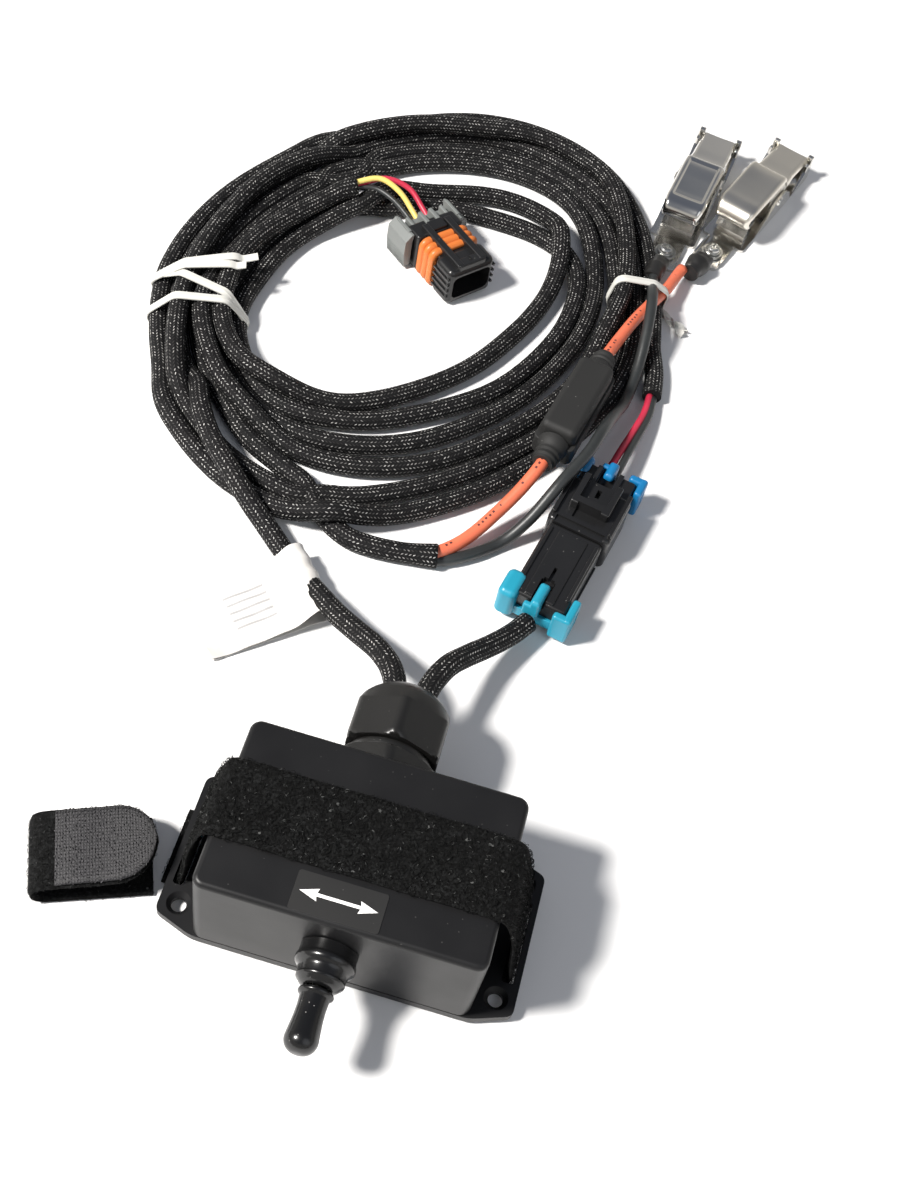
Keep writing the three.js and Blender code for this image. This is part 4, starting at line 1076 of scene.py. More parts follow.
# ---------------------------------------------------------------------------------------------------
# Cable gland. Black nylon: a hex collar screwed through the rear wall against a locknut, a domed hex
# nut that squeezes a rubber seal on the two sleeved cables, and a washer lip at the nut's foot.
# ---------------------------------------------------------------------------------------------------
REAR, FLATS = 27.5, 29.0
body = [(15.5, 8.7), (15.5, 12.0), (16, 12.2), (REAR + 0.3, 12.2), (REAR + 0.3, 15.6, 1),
    (REAR + 0.8, 16.3, 1), (REAR + 5.6, 16.3, 1)]
body += [(REAR + 6.4, 15.4, 1), (REAR + 6.4, 13.2), (REAR + 6.9, 13.4), (REAR + 8.2, 13.6),
    (REAR + 9.2, 13.4), (REAR + 9.5, 12.6), (REAR + 9.6, 11.4), (REAR + 18.6, 11.4), (REAR + 19, 11.0),
    (REAR + 19, 8.7)]
gland_collar = turned_ring("gland_collar", body, GLAND_X, GLAND_Z, FLATS, 96, 0.5)
fitted(gland_collar, black_nylon, "controller", "nylon_black", "gland_body")
nut = [(REAR + 9.8, 11.8), (REAR + 9.8, 15.2, 1), (REAR + 10.6, 16.2, 1), (REAR + 12, 17.2, 1),
    (REAR + 17, 17.0, 1), (REAR + 23, 16.7, 1)]
nut += [(REAR + 23.6, 16.4, 1), (REAR + 27.2, 14.6, 1), (REAR + 29.2, 13.1), (REAR + 30.6, 11.7),
    (REAR + 31.5, 10.7), (REAR + 31.9, 10.1)]
nut += [(REAR + 31.7, 9.4), (REAR + 31, 9.1), (REAR + 27, 9.2), (REAR + 23, 11.7)]
gland_dome_nut = turned_ring("gland_dome_nut", nut, GLAND_X, GLAND_Z, FLATS, 96, 0.4)
fitted(gland_dome_nut, black_nylon, "controller", "nylon_black", "gland_nut")
lock = [(REAR - 7, 12.6), (REAR - 7, 15.8, 1), (REAR - 6.4, 16.4, 1), (REAR - 3.4, 16.4, 1),
    (REAR - 2.8, 15.8, 1), (REAR - 2.8, 12.6)]
gland_lock_ring = turned_ring("gland_lock_ring", lock, GLAND_X, GLAND_Z, FLATS, 96, 0.4)
fitted(gland_lock_ring, black_nylon, "controller", "nylon_black", "gland_locknut")
nodes["gland_seal"].material_slots[0].material = gloss_rubber

# ---------------------------------------------------------------------------------------------------
# Coil ties and tag. Flat white twist ties, paper-covered with a wire core, pulled tight round the
# bundle, their ends left long. A coated paper test tag is folded round cable A and stuck to itself.
# ---------------------------------------------------------------------------------------------------
TIE_WIDTH, TIE_THICK = 3.6, 0.45
tie_paper = moulding_material("tie_paper", (0.56, 0.555, 0.52), 0.6, 0.0, 1300.0, 0.00006, 0.0, 0.06)


def bundle_outline(start, end, lines, clear):
    """The tight outline round the cables that cross an upright plane, as distance along it and height."""
    start, end = np.array(start, float), np.array(end, float)
    way = (end - start) / np.linalg.norm(end - start)
    off = np.array((-way[1], way[0]))
    spots = []
    for line, reach in lines:
        side = (line[:, :2] - start) @ off
        for i in np.nonzero(side[:-1] * side[1:] <= 0)[0]:
            share = side[i] / (side[i] - side[i + 1])
            spot = line[i] + share * (line[i + 1] - line[i])
            far = float((spot[:2] - start) @ way)
            if 0 <= far <= np.linalg.norm(end - start):
                span = reach + clear
                spots += [(far + span * math.cos(a), max(spot[2] + span * math.sin(a), 0.3))
                    for a in np.linspace(0, 6.28, 25)]
    spots = sorted(set(spots))
    hull = []
    for run in (spots, spots[::-1]):
        part = []
        for x, z in run:
            while len(part) > 1:
                (x0, z0), (x1, z1) = part[-2:]
                if (x1 - x0) * (z - z0) > (z1 - z0) * (x - x0):
                    break
                part.pop()
            part.append((x, z))
        hull += part[:-1]
    return [(start[0] + way[0] * far, start[1] + way[1] * far, z) for far, z in hull], off


def tie_strip(points, side, closed=False, twist=0.0, width=TIE_WIDTH):
    """A flat strip with a raised core along points; side is the way its width runs."""
    points = [tuple(point) for point in points]
    line = smooth_line(points + points[:1] if closed else points, 0.9)
    if closed:
        line = evenly(np.array(points + points[:1]), 0.9)[:-1]
    count = len(line)
    rings = []
    for i, spot in enumerate(line):
        after, before = (i + 1) % count, i - 1
        if not closed:
            after, before = min(i + 1, count - 1), max(i - 1, 0)
        ahead = Vector(line[after] - line[before]).normalized()
        across = Vector((side[0], side[1], 0))
        across = (across - ahead * across.dot(ahead)).normalized()
        across = Matrix.Rotation(twist * i / max(count - 1, 1), 3, ahead) @ across
        up = across.cross(ahead)
        half, thick = width / 2, TIE_THICK / 2
        section = [(-half, -thick), (-half, thick), (-0.45, thick), (0, thick + 0.28), (0.45, thick),
            (half, thick), (half, -thick), (0, -thick)]
        rings.append([Vector(spot) + across * a + up * b for a, b in section])
    if closed:
        points, faces = stacked(rings + rings[:1])
        return points, faces[2:]
    return stacked(rings)


def tie(name, strips, *stands_for):
    points, faces = [], []
    for shape in strips:
        faces += [tuple(k + len(points) for k in face) for face in shape[1]]
        points += shape[0]
    piece = finished(loose_piece(name, (points, faces)), seat())
    return fitted(piece, tie_paper, "controller", "tie_white", *stands_for)


sleeves = [(line_a, SLEEVE / 2), (line_c, SLEEVE / 2)]
strips = []
for start, end in (((-147, 221.4), (-103, 211.3)), ((-147, 202.5), (-103, 214))):
    outline, side = bundle_outline(start, end, sleeves, 0.55)
    strips.append(tie_strip(outline, side, closed=True))
for end_y, reach in ((240, -110.5), (232.5, -113)):
    outline, side = bundle_outline((-147, 219), (-103, end_y), sleeves, 1.3)
    free = sorted((point for point in outline if point[2] > 6 and point[0] < reach - 3),
        key=lambda point: point[0])
    free.append((reach, 219 + (end_y - 219) * (reach + 147) / 44, free[-1][2] + 0.9))
    strips.append(tie_strip(free, side))
tie("twist_tie_left", strips, "coil_tie_left")
battery = [(smooth_line([(37.5, 264, 13), (43, 280, 10.5), (47.5, 293, 8)], 1.0), 2.4)]
battery.append((smooth_line([(42.6, 266, 17.4), (41.6, 277, 17), (41, 287, 11.5), (40.8, 297.4, 6.4)], 1.0),
    2.2))
outline, side = bundle_outline((20, 281.5), (50, 287.5), sleeves + battery, 0.5)
knot = [(45.6, 286.2, 3.0), (48, 284.2, 2.6), (51.5, 281.2, 2.3), (55, 278, 2.2), (58.4, 275.2, 1.8)]
spread = [(45.8, 286.0, 2.6), (48.4, 283.6, 2.9), (51.6, 281.0, 2.6), (55.6, 279.8, 2.0),
    (60.2, 278.8, 1.2)]
tails = [tie_strip(knot, (0.7, 0.7), twist=7.5, width=3.0),
    tie_strip(spread, (0.7, 0.7), twist=-7.5, width=3.0)]
tie("twist_tie_right", [tie_strip(outline, side, closed=True)] + tails, "coil_tie_right")

TAG_HALF_LENGTH, TAG_HALF_WIDTH, TAG_X, TAG_Y, TAG_ANGLE = 17.8, 14.2, -64.6, 88.4, 41.0
tag_way = Vector((math.cos(math.radians(TAG_ANGLE)), math.sin(math.radians(TAG_ANGLE))))
tag_side = Vector((-tag_way[1], tag_way[0]))
tag_middle = Vector((TAG_X, TAG_Y))
past_box = [point for point in line_a[:60] if point[1] >= 70]
crossing = min(past_box, key=lambda point: abs((Vector(point[:2]) - tag_middle).dot(tag_side)))
round_x = (Vector(crossing[:2]) - tag_middle).dot(tag_way)
round_z, hug = crossing[2], SLEEVE / 2 + 0.5
wrap = [(-TAG_HALF_LENGTH, 1.5), (-12, 1.3), (-5, 2.0), (round_x - 9, 3.4 + round_z * 0.25)]
wrap += [(round_x + hug * math.cos(a), round_z + hug * math.sin(a))
    for a in np.radians(np.arange(118, -119, -26))]
wrap += [(round_x - 9, 2.0), (-5, 1.1), (-12, 0.7), (-TAG_HALF_LENGTH, 0.8)]
wrap_line = smooth_line([(x, 0, z) for x, z in wrap], 0.8)
sheet = bmesh.new()
tag_uv = sheet.loops.layers.uv.new("print")
rows = []
for i, (x, _, z) in enumerate(wrap_line):
    row = []
    for k in range(33):
        y = TAG_HALF_WIDTH * (k / 16 - 1)
        near = math.exp(-((x - round_x + 7) / 5.5) ** 2)
        crease = 0.28 * math.sin(0.55 * y + 0.31 * x) * math.sin(0.23 * x + 1.1)
        crease += near * 0.5 * math.sin(1.25 * y + 0.4 * x)
        curl = 0.9 * max(0, -x / TAG_HALF_LENGTH - 0.55) * (y / TAG_HALF_WIDTH) ** 2
        layer = 1.0 if i < len(wrap_line) * 0.42 else 0.15
        height = max(z + layer * (crease + curl), 0.25 if layer < 1 else 1.0)
        row.append(sheet.verts.new((x + 0.25 * math.sin(0.9 * y), y, height)))
    rows.append(row)
for i in range(len(rows) - 1):
    for k in range(32):
        face = sheet.faces.new((rows[i][k], rows[i][k + 1], rows[i + 1][k + 1], rows[i + 1][k]))
        for loop, (u, v) in zip(face.loops, ((k, i), (k + 1, i), (k + 1, i + 1), (k, i + 1))):
            loop[tag_uv].uv = (u / 32, v / (len(rows) - 1))
folded_tag = piece_from("folded_tag", sheet)
paper = folded_tag.modifiers.new("paper", "SOLIDIFY")
paper.thickness = 0.16
paper.offset = 0.0
finished(folded_tag, seat(TAG_X, TAG_Y, 0, TAG_ANGLE), 60.0)


def tag_material():
    """Coated paper: a cream tone that wanders, soft creases, and a few plain grey rules."""
    material = plain_material("coated_paper", (0.82, 0.81, 0.78), 0.5)
    tree = material.node_tree
    spot = node(tree, "ShaderNodeTexCoord").outputs["Object"]
    tone = node(tree, "ShaderNodeTexNoise", Vector=spot, Scale=75.0, Detail=3.0).outputs[0]
    place = laid_out(tree, "print")
    row = fraction(tree, times(tree, place[0], 9.0))
    rule = less_than(tree, magnitude(tree, minus(tree, row, 0.5)), 0.13)
    width = less_than(tree, magnitude(tree, minus(tree, place[0], 0.5)), 0.32)
    length = less_than(tree, magnitude(tree, minus(tree, place[1], 0.2)), 0.075)
    ink = times(tree, times(tree, rule, width), times(tree, length, 0.55))
    base = mixed(tree, tone, (0.5, 0.475, 0.44, 1), (0.74, 0.73, 0.71, 1))
    inked = mixed(tree, ink, base, (0.16, 0.16, 0.18, 1))
    crinkle = node(tree, "ShaderNodeTexNoise", Vector=spot, Scale=210.0, Detail=3.0).outputs[0]
    return surfaced(material, inked, crinkle, 0.5, 0.0006)


fitted(folded_tag, tag_material(), "controller", "tag_paper", "paper_tag")

# ---------------------------------------------------------------------------------------------------
# Two-way sealed connector pair. Black nylon socket and plug pushed together and latched by a raised
# frame on top, each with a coloured secondary lock clipped over its rear end.
# ---------------------------------------------------------------------------------------------------
MATED = seat(29, 113.5, 0, 78.2)
SPLIT, PLUG_END, LOCKS_APART = 38.0, 70.7, 74.0
dark_nylon = moulding_material("dark_nylon", (0.010, 0.010, 0.0105), 0.3, 0.35, 1500.0, 0.00003)
teal_plastic = moulding_material("teal_plastic", (0.014, 0.25, 0.36), 0.36, 0.0, 900.0, 0.00004, 0.0, 0.1)
blue_plastic = moulding_material("blue_plastic", (0.007, 0.15, 0.35), 0.34, 0.0, 900.0, 0.00004, 0.0, 0.1)

middle = (SPLIT + 3.6) / 2
socket = pillow((middle, 0), (SPLIT - 3.6) / 2, 10.4, 1.6, 1, 14, top=1.2, bottom=0.8)
more = [pillow((20, 0.2), 15.5, 5.6, 0.6, 10, 14.7, top=0.5)]
more += [pillow((22, side * 8.9), 13.5, 0.7, 0.5, 8, 14.9, top=0.4) for side in (-1, 1)]
more += [block((8, side * 10.6 - 0.5, 4), (34, side * 10.6 + 0.5, 5.4)) for side in (-1, 1)]
less = [block((2, -2.6, 11.4), (13, 2.6, 16)), block((13, -0.55, 12.6), (19.5, 0.55, 16)),
    block((11.5, -2.0, 12.6), (14, 2.0, 16))]
less.append(block((SPLIT - 12.3, -7.3, 3.7), (SPLIT + 4, 7.3, 12.3)))
socket_body = machined("socket_body", MATED, socket, ("UNION", more), ("DIFFERENCE", less), ease=0.3)
fitted(socket_body, dark_nylon, "controller", "nylon_black", "connector_socket")

plug = pillow(((PLUG_END + SPLIT + 0.3) / 2, 0), (PLUG_END - SPLIT - 0.3) / 2, 10.3, 1.5, 0.2, 14, top=1.0,
    bottom=0.6)
shroud_end = PLUG_END - 9.5
more = [pillow(((shroud_end + SPLIT + 0.3) / 2, 0), (shroud_end - SPLIT - 0.3) / 2, 12.2, 2.2, 0.2, 15.2,
    top=1.4, bottom=1.0)]
more.append(pillow((SPLIT + 16.2, 0), 7.6, 7.6, 0.8, 12, 19.0, top=0.7))
more.append(block((SPLIT - 12, -7, 4), (SPLIT + 4, 7, 12)))
more += [pillow((SPLIT + 13.5, side * 10.9), 10.5, 0.8, 0.5, 9, 16.6, top=0.4) for side in (-1, 1)]
more += [pillow((SPLIT + 26, side * 4.2), 6.4, 0.9, 0.4, 12, 15.4, top=0.3) for side in (-1, 1)]
less = [block((SPLIT + 12.2, -5.2, 15.4), (SPLIT + 25, 5.2, 21)),
    block((SPLIT + 5, -4.6, 14.2), (SPLIT + 9.5, 4.6, 21))]
less += [block((SPLIT + 17, -0.8, 13.0), (SPLIT + 21, 0.8, 18)),
    block((SPLIT + 24.5, -2.8, 10.6), (SPLIT + 34, 2.8, 17))]
less += [block((SPLIT - 0.5, -9.4, 14.3), (SPLIT + 3.2, 9.4, 16))]
plug_body = machined("plug_body", MATED, plug, ("UNION", more), ("DIFFERENCE", less), ease=0.32)
fitted(plug_body, dark_nylon, "controller", "nylon_black", "connector_plug")


def secondary_lock(name, place, reach, wide_side, material, slot, stands_for):
    """A clip with a big round block over one rear corner, a hook over the other and a round finger on top."""
    side = wide_side
    base = pillow((2.9, 0), 0.7, 12.2, 0.5, 3, 7.4, top=0.3, bottom=0.3)
    more = [pillow((reach / 2, side * 10.6), reach / 2, 3.5, 2.4, 2.6, 15.2, top=2.2, bottom=1.0)]
    more.append(pillow((reach * 0.46, -side * 12.3), reach * 0.46, 1.5, 1.1, 2.6, 14.8, top=1.1,
        bottom=0.8))
    more.append(pillow((1.6, -side * 10.2), 1.6, 3.4, 1.2, 2.8, 14.6, top=1.1, bottom=0.6))
    more.append(pillow((reach / 2 - 0.7, 0), reach / 2 - 0.7, 1.9, 1.2, 9.6, 16.6, top=1.7))
    more.append(pillow((1.2, side * 1.2), 1.2, 3.0, 0.8, 9.6, 14.0, top=0.9))
    less = [block((3.6, -10.8, 0), (reach + 3, 10.8, 14.25)),
        block((reach - 4.2, min(-side * 14.4, -side * 13.2), 5),
        (reach - 2.8, max(-side * 14.4, -side * 13.2), 12))]
    lock = machined(name, place, base, ("UNION", more), ("DIFFERENCE", less), ease=0.3, rings=3)
    return fitted(lock, material, "controller", slot, stands_for)


secondary_lock("teal_lock", MATED @ Matrix.Translation((0.2, 0, 0)), 12, 1, teal_plastic, "lock_teal",
    "socket_lock")
far_end = MATED @ Matrix.Translation((LOCKS_APART, 0, 0)) @ Matrix.Rotation(math.pi, 4, "Z")
secondary_lock("blue_lock", far_end, 9.5, -1, blue_plastic, "lock_blue", "plug_lock")

# ---------------------------------------------------------------------------------------------------
# In-line fuse holder. Soft black rubber body with a ribbed tapering neck at each end, a blade fuse
# pushed into it from above, and a pull-off cap of the same rubber.
# ---------------------------------------------------------------------------------------------------
FUSE = seat(24, 205, 10.3, 78.9)
matt_rubber = moulding_material("matt_black_rubber", (0.010, 0.010, 0.0097), 0.7, 0.4, 1100.0, 0.00006)
NECK_HEIGHT = 6.8


def ribbed_neck(side):
    """A tapering neck with three ribs, reaching out along x."""
    rows = [(20.5, 6.2), (22, 6.0), (23.2, 5.6), (24.2, 5.0), (24.8, 4.5), (25.5, 4.5), (26.0, 5.0),
        (26.8, 5.0), (27.3, 4.3)]
    rows += [(28.0, 4.3), (28.5, 4.7), (29.2, 4.7), (29.7, 4.0), (30.9, 3.9)]
    turns = [2 * math.pi * k / 28 for k in range(28)]
    return stacked([[(side * x, r * math.cos(a), NECK_HEIGHT + r * math.sin(a)) for a in turns]
        for x, r in rows])


base = pillow((0, 0), 22, 8, 2.4, 0, 8.5, top=0.5, bottom=1.6)
more = [ribbed_neck(-1), ribbed_neck(1)]
well = block((-11, -3.2, 2), (11, 3.2, 20))
holder = machined("fuse_holder_body", FUSE, base, ("UNION", more), ("DIFFERENCE", [well]), ease=0.25,
    sharp=40.0)
fitted(holder, matt_rubber, "controller", "rubber_black", "fuse_body")
lid = pillow((0, 0), 20, 7.1, 2.6, 8.85, 15.3, top=2.4, bottom=0.3)
tab = pillow((19.6, 0), 1.6, 3.4, 0.8, 9.4, 13.4, top=0.8, bottom=0.4)
pull_cap = machined("fuse_pull_cap", FUSE, lid, ("UNION", [tab]),
    ("DIFFERENCE", [block((-10.4, -3.2, 8), (10.4, 3.2, 13.2))]), ease=0.22)
fitted(pull_cap, matt_rubber, "fuse_lid", "rubber_black", "fuse_cap")
nodes["blade_fuse"].material_slots[0].material = moulding_material("fuse_plastic", (0.55, 0.16, 0.03), 0.3,
    0.0)

# ---------------------------------------------------------------------------------------------------
# Three-way sealed connector. Black nylon body with two long latch rails, an orange three-ribbed
# silicone seal let into its waist, and a grey terminal lock with two finely ribbed wings at the rear.
# ---------------------------------------------------------------------------------------------------
ACTUATOR = seat(-57, 287, 0, -41)
grey_plastic = moulding_material("grey_plastic", (0.155, 0.165, 0.16), 0.42, 0.1, 1200.0, 0.00003)
orange_silicone = moulding_material("orange_silicone", (0.58, 0.155, 0.03), 0.4, 0.1, 1200.0, 0.00004)

core = pillow((20.2, 0), 15.9, 8.9, 1.6, 1.8, 16.2, top=1.0, bottom=1.0)
rear = pillow((8.6, 0), 4.3, 11, 1.4, 0.5, 17.5, top=1.2, bottom=1.2)
front = pillow((30.2, 0), 5.8, 11, 2.6, 0.5, 17.5, top=2.2, bottom=2.2)
more = [rear, front]
more += [pillow((21.5, side * 5.3), 13.2, 1.5, 0.5, 13.5, 19.4, top=0.5) for side in (-1, 1)]
more += [pillow((33.2, 0), 2.2, 6.4, 0.6, 15, 19.2, top=0.6),
    pillow((9.6, 0), 2.6, 3.6, 0.5, 14, 18.6, top=0.4)]
more += [block((25.2, side * 11.15 - 0.45, z), (35.6, side * 11.15 + 0.45, z + 0.9)) for side in (-1, 1)
    for z in (4, 7, 10, 13)]
less = [pillow((31.5, 0), 7.2, 9.0, 3.0, 3.6, 14.4, top=2.4, bottom=2.4),
    block((30.4, -0.6, 18.4), (34, 0.6, 20))]
less += [block((5.4, side * 8.9 - 1.1, 12.5), (11.6, side * 8.9 + 1.1, 16.2)) for side in (-1, 1)]
sealed_body = machined("sealed_plug_body", ACTUATOR, core, ("UNION", more), ("DIFFERENCE", less), ease=0.25)
fitted(sealed_body, dark_nylon, "controller", "nylon_black", "actuator_body")

rings = []
for x in np.linspace(13.4, 23.6, 37):
    bulge = 1.0 * abs(math.sin(math.pi * 3 * (x - 13.4) / 10.2)) ** 0.7
    rings.append([(x, y, z + 9) for y, z in rounded_outline(10.7 + bulge, 8.2 + bulge, 3.6, 7)])
for x in (23.6, 18.5, 13.4):
    rings.append([(x, y, z + 9) for y, z in rounded_outline(9.2, 7.4, 1.8, 7)])
points, faces = stacked(rings + rings[:1])
ribbed_seal = finished(loose_piece("ribbed_seal", (points, faces[2:])), ACTUATOR)
fitted(ribbed_seal, orange_silicone, "controller", "seal_orange", "actuator_seal")

comb = pillow((2, 0), 2, 11, 0.8, 3, 15, top=0.6, bottom=0.6)
more, less = [], [rod((-2, y, 9.4), (6, y, 9.4), 1.5) for y in (-6, 0, 6)]
for side in (-1, 1):
    wing = [(side * y, z) for y, z in ((11.9, 2.0), (14.6, 1.4), (15.3, 8), (15.1, 14.6), (12.2, 17.2),
        (11.3, 17.2), (11.9, 13.4))]
    more.append(pushed(wing, "x", -2.4, 10.2))
    more.append(pillow((2, side * 11.4), 1.8, 1.8, 0.5, 4.6, 13.6, top=0.4, bottom=0.4))
    more.append(pillow((3.4, side * 11.8), 4.6, 0.7, 0.4, 14.4, 17.8, top=0.3))
more += [pillow((5.6, y), 5.2, 0.95, 0.4, 12.5, 18.4, top=0.5) for y in (-2.5, 2.5)]
more += [pillow((3.4, y), 3.4, 0.8, 0.4, 12.5, 17.4, top=0.5) for y in (-8.2, 8.2)]
terminal_lock = machined("terminal_lock", ACTUATOR, comb, ("UNION", more), ("DIFFERENCE", less), ease=0.22)


def rib_tree():
    """A row of small round ribs, one every pitch along x."""
    tree, given = growth_tree("rib_row", [
        ("Count", "NodeSocketInt", 10), ("Pitch", "NodeSocketFloat", 0.001),
        ("Start", "NodeSocketVector", (0, 0, 0)),
        ("Rib Length", "NodeSocketFloat", 0.01), ("Rib Radius", "NodeSocketFloat", 0.0004),
        ("Turn", "NodeSocketVector", (0, 0, 0)),
    ])
    step = node(tree, "ShaderNodeCombineXYZ", i0=given["Pitch"]).outputs[0]
    row = node(tree, "GeometryNodeMeshLine", Count=given["Count"], Start_Location=given["Start"],
        Offset=step)
    rib = node(tree, "GeometryNodeMeshCylinder", Vertices=10, Radius=given["Rib Radius"],
        Depth=given["Rib Length"])
    laid = node(tree, "GeometryNodeTransform", Geometry=rib.outputs[0], Rotation=given["Turn"])
    smooth = node(tree, "GeometryNodeSetShadeSmooth", Geometry=laid.outputs[0], Shade_Smooth=True)
    return set_among(tree, given, row.outputs[0], smooth.outputs[0])


terminal_lock.data.materials.append(grey_plastic)
terminal_lock.data.transform(ACTUATOR.inverted())
terminal_lock.data.transform(Matrix.Scale(0.001, 4))
rib_row = rib_tree()
for side in (-1, 1):
    lean = math.atan2(0.7, 6.6) * side
    grown(terminal_lock, rib_row, Count=13, Pitch=0.00092, Start=(-0.0015, side * 0.0149, 0.0048),
        Rib_Length=0.0064, Rib_Radius=0.00032, Turn=(-lean, 0, 0), Finish=grey_plastic)
terminal_lock.data.transform(ACTUATOR @ Matrix.Scale(1000, 4))
fitted(terminal_lock, grey_plastic, "controller", "lock_grey", "actuator_lock")

# ---------------------------------------------------------------------------------------------------
# Battery clips. Two bright nickel-plated steel crocodile clips: a pressed lower jaw that takes the wire's
# ring terminal under a screw, a hinged upper jaw with an embossed thumb pad, and a coil spring between.
# Black heat-shrink sleeves cover the crimps.
# ---------------------------------------------------------------------------------------------------
CLIP_END, CLIP_HALF, SHEET, PIN_X, PIN_Z = 84.0, 10.0, 1.2, 50.0, 8.0
JAW_HALF = CLIP_HALF - SHEET - 0.35
SPRING_X, SPRING_LOW, SPRING_HIGH, SPRING_TURNS = 34.0, 2.3, 16.5, 5.5
bright_steel = moulding_material("bright_plated_steel", (0.7, 0.685, 0.65), 0.16, 0.0, 240.0, 0.00003, 1.0,
    0.07)
# Painted reflection: a lighter, creamier copy of the plated steel for the positive clip's upper jaw, its
# cream colour standing in for the warm light that its pad reflects.
reflection_painted_steel = moulding_material("worn_plated_steel", (0.78, 0.74, 0.66), 0.34, 0.0, 240.0, 0.00003, 1.0,
    0.07)
shrink_black = moulding_material("heat_shrink", (0.012, 0.0115, 0.011), 0.42, 0.2, 500.0, 0.00009)


def saw(half, low, tip, count=5):
    """A row of pointed teeth across a jaw's end, as an outline of (y, z)."""
    pitch = 2 * half / count
    outline = [(-half, low)]
    for k in range(count):
        outline += [(-half + pitch * k, tip + (low - tip) * 0.35), (-half + pitch * (k + 0.5), tip)]
    return outline + [(half, tip + (low - tip) * 0.35), (half, low)]


def pressed_pad(place, name, press):
    """The upper jaw's sheet: rolled rear end, embossed thumb pad with a raised rim, a step to the nose."""
    profile = [(21.6, 10.3), (20.0, 11.4), (19.0, 13.2), (19.3, 15.4), (21.2, 17.5), (24.5, 18.4),
        (30, 18.4), (40, 18.4), (50, 18.4), (53.4, 17.7)]
    profile += [(55.8, 15.0), (57.8, 12.7), (61, 12.0), (70, 11.2), (CLIP_END - 1.2, 10.1)]
    line = smooth_line([(x, 0, z) for x, z in profile], 0.8)
    ahead = np.gradient(line, axis=0)
    ahead /= np.linalg.norm(ahead, axis=1)[:, None]
    rings = []
    for (x, _, z), way in zip(line, ahead):
        half = JAW_HALF - 1.1 * max(0, min(1, (26 - x) / 8)) ** 2 - 0.9 * max(0, min(1, (x - 58) / 8))
        row = []
        for k in range(41):
            y = half * (k / 20 - 1)
            edge = max(0.0, abs(y) - (half - 1.5)) / 1.5
            inner = min(max((7.2 - abs(y)) / 1.0, 0), 1) * min(max((x - 24.6) / 1.3, 0), 1)
            inner *= min(max((52.2 - x) / 1.3, 0), 1)
            drop = 1.5 * (1 - math.sqrt(max(1 - edge * edge, 0.0)))
            drop += press * inner * inner * (3 - 2 * inner) - 0.25 * (y / half) ** 2
            row.append((x + way[2] * drop, y, z - way[0] * drop))
        rings.append(row)
    points = [point for row in rings for point in row]
    faces = [(i * 41 + k, i * 41 + k + 1, (i + 1) * 41 + k + 1, (i + 1) * 41 + k)
        for i in range(len(rings) - 1) for k in range(40)]
    pad = loose_piece(name, (points, faces))
    sheet = pad.modifiers.new("sheet", "SOLIDIFY")
    sheet.thickness = SHEET * 0.85
    sheet.offset = 0.0
    return finished(pad, place, 60.0)


def merged(name, pieces):
    """One object of several, in the frame that they already share."""
    whole = bmesh.new()
    for piece in pieces:
        whole.from_mesh(piece.data)
        bpy.data.objects.remove(piece)
    return piece_from(name, whole)


def both_sides(outline, outer, inner):
    """A flat outline as a plate on the left and one on the right."""
    return [pushed(outline, "y", *sorted((side * outer, side * inner))) for side in (-1, 1)]


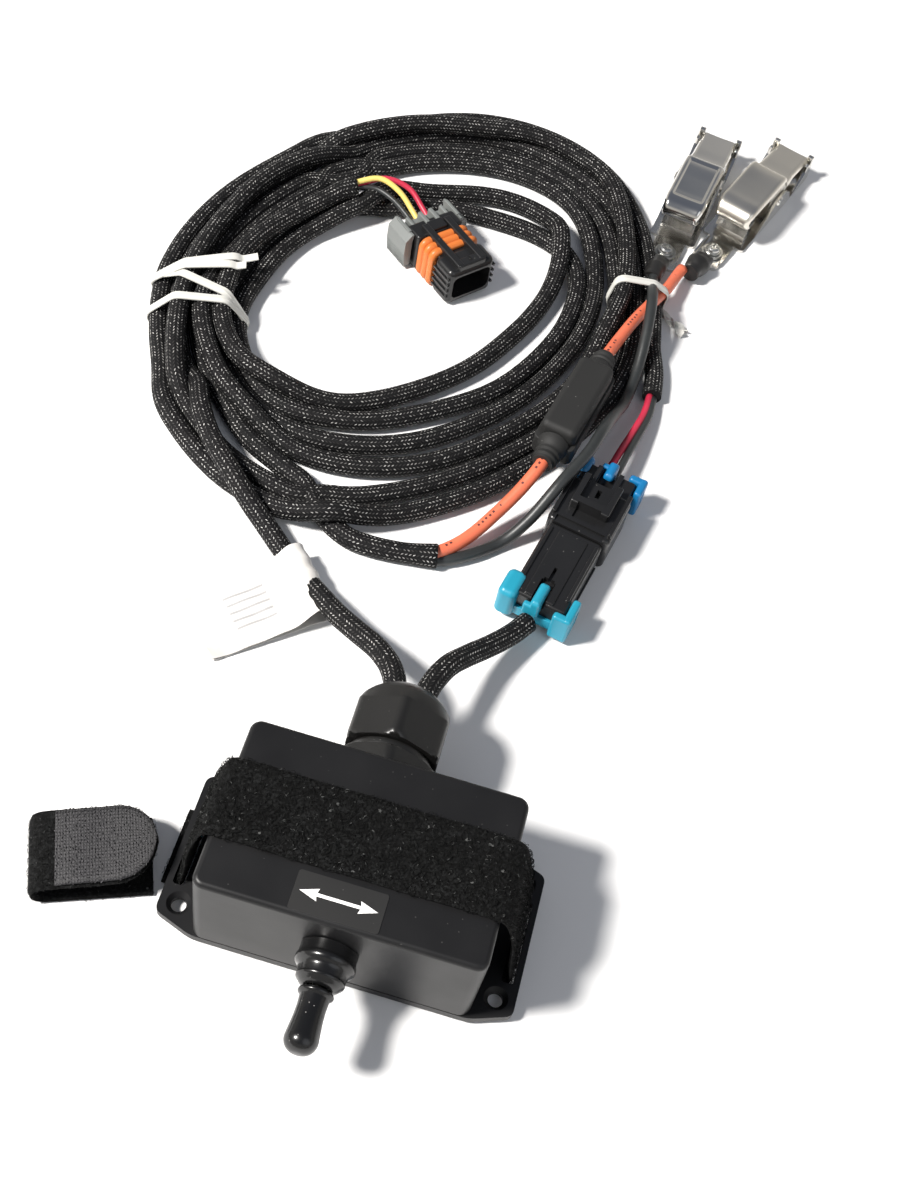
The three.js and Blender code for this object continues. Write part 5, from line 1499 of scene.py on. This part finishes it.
def battery_clip(name, place, bulge, wall_thick, press, plating):
    side = [(28, 0.4), (66, 0.4), (61, 7), (54.5, 11), (45.5, 11), (40, 5.6), (32, 2.4)]
    more = [pillow((10, 0), 10.6, 6.4, 2.2, 0, SHEET), pillow((51, 0), 33, CLIP_HALF, 1.6, 0, SHEET)]
    more += both_sides(side, CLIP_HALF, CLIP_HALF - SHEET)
    lip = [(3, 0.4), (17.5, 0.4), (17.5, 1.5), (15, 2.4), (3, 2.0)]
    more += both_sides(lip, 6.5, 5.6)
    more += [rod((PIN_X, -CLIP_HALF - 0.5, PIN_Z), (PIN_X, CLIP_HALF + 0.5, PIN_Z), 1.45)]
    more += [rod((PIN_X, s * (CLIP_HALF - 0.1), PIN_Z), (PIN_X, s * (CLIP_HALF + 0.7), PIN_Z), 2.5, 1.9)
        for s in (-1, 1)]
    more.append(pushed(saw(CLIP_HALF - 0.6, 0.3, 6.2), "x", CLIP_END - SHEET, CLIP_END))
    ear = [(68, 0.4), (CLIP_END, 0.4), (CLIP_END, 7.4), (CLIP_END - 6, 7.4), (72, 3.0)]
    more += both_sides(ear, CLIP_HALF, CLIP_HALF - SHEET)
    more += [pillow((CLIP_END - 1.5, s * 8.6), 1.2, 1.4, 0.5, 0.4, 12.6, top=0.7) for s in (-1, 1)]
    more += [pillow((CLIP_END - 5.2, s * 9.1), 1.3, 0.9, 0.4, 0.4, 10.4, top=0.6) for s in (-1, 1)]
    shield = [(20, 0.8), (23.6, 1.25), (24.8, 2.2), (25.3, 4.2), (25.9, 8.4), (26.8, 8.4), (26.4, 4.0),
        (26.2, 1.8), (26.2, 0.6)]
    more.append(pushed(shield, "y", -7.2, 7.2))
    less = [rod((8, 0, -1), (8, 0, 3), 1.8), rod((62, 0, -1), (62, 0, 3), 2.2)]
    lower = machined(f"{name}_lower_shell", place, block((14, -5, 0.2), (30, 5, 1.0)), ("UNION", more),
        ("DIFFERENCE", less), ease=0.22)
    fitted(lower, bright_steel, "controller", "chrome", f"{name}_lower_jaw")

    flange = [(25.5, 17.6), (26.5, 15.8), (38, 14.6), (42.5, 12.5), (44, 5.6), (54, 5.0), (59.6, 9.2),
        (58.6, 12.0), (53.6, 17.4)]
    inner = JAW_HALF - 0.1
    cheeks = both_sides(flange, inner, inner - 1.0)
    more = [cheeks[1], pushed(saw(JAW_HALF - 1.2, 10.2, 7.0), "x", CLIP_END - 2.2, CLIP_END - 1.1)]
    sides = machined(f"{name}_cheeks", place, cheeks[0], ("UNION", more),
        ("DIFFERENCE", [rod((PIN_X, -20, PIN_Z), (PIN_X, 20, PIN_Z), 1.8)]), ease=0.2)
    upper = merged(f"{name}_thumb_jaw", [pressed_pad(place, "pad", press), sides])
    fitted(upper, plating, f"{name}_jaw", "chrome", f"{name}_upper_jaw")

    coil = []
    for k in range(int(SPRING_TURNS * 20) + 1):
        turn, rise = 2 * math.pi * k / 20, k / (SPRING_TURNS * 20)
        rise = min(max((rise - 0.09) / 0.82, 0.02 * rise), 1)
        reach = 5.7 - 1.1 * rise
        coil.append((SPRING_X + reach * math.cos(turn), reach * math.sin(turn),
            SPRING_LOW + 0.3 + (SPRING_HIGH - SPRING_LOW - 0.6) * rise))
    coil = [tuple(place @ Vector(point) * 1000) for point in coil]
    spring = hose(f"{name}_coil", coil, 1.25, 10)
    fitted(spring, zinc_plate, "controller", "zinc", f"{name}_spring")
    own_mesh(spring)

    cross = [block((5.9, -0.4, 4.2), (10.1, 0.4, 6)), block((7.6, -2.1, 4.2), (8.4, 2.1, 6))]
    dome = [rod((8, 0, z), (8, 0, z + rise), low, high)
        for z, rise, low, high in ((2.95, 0.7, 3.6, 3.6), (3.6, 0.9, 3.0, 2.7), (4.45, 0.5, 2.7, 1.9))]
    screw = machined(f"{name}_cross_screw", place, rod((8, 0, 0.15), (8, 0, 3.1), 1.5), ("UNION", dome),
        ("DIFFERENCE", cross), ease=0.12)
    fitted(screw, zinc_plate, "controller", "zinc", f"{name}_screw")
    ring = [pillow((2.5, 0), 5.5, 2.6, 1.2, 1.5, 2.6), rod((-5.5, 0, 4.4), (-0.5, 0, 3.4), 3.0, 2.2)]
    terminal = machined(f"{name}_ring_terminal", place, rod((8, 0, 1.5), (8, 0, 2.6), 4.6), ("UNION", ring),
        ("DIFFERENCE", [rod((8, 0, 0), (8, 0, 4), 1.8)]), ease=0.15)
    fitted(terminal, zinc_plate, "controller", "zinc", f"{name}_boot")

    rows = [(-14.6, wall_thick), (-14.4, wall_thick + 0.4), (-12, wall_thick + 0.5),
        (-9.5, wall_thick + 0.7 + bulge * 0.6), (-7, wall_thick + 0.8 + bulge)]
    rows += [(-4.6, wall_thick + 0.5 + bulge * 0.7), (-2.6, wall_thick + 0.2), (-0.6, wall_thick - 0.2),
        (1.0, wall_thick - 0.6), (1.2, wall_thick - 1.2)]
    rows = smooth_line([(x, r, 0) for x, r in rows], 0.45)
    rings = []
    for x, r, _ in rows:
        flat = min(max((x + 7) / 8, 0), 1)
        rings.append([
            (x, (r + 1.1 * flat + 0.12 * math.sin(3 * a + x)) * math.cos(a),
            5.2 - 1.2 * flat + (r * (1 - 0.38 * flat) + 0.1 * math.sin(2 * a + 0.8 * x)) * math.sin(a))
            for a in np.linspace(0, 2 * math.pi, 40, endpoint=False)
        ])
    shrink = finished(loose_piece(f"{name}_heat_shrink", stacked(rings)), place)
    fitted(shrink, shrink_black, "controller", "rubber_black", f"{name}_boot")


battery_clip("clip_negative", seat(42, 313, 0, 81.6), 0.0, 3.4, 0.75, bright_steel)
battery_clip("clip_positive", seat(60, 322, 0, 70.6), 1.0, 3.3, 0.0, reflection_painted_steel)
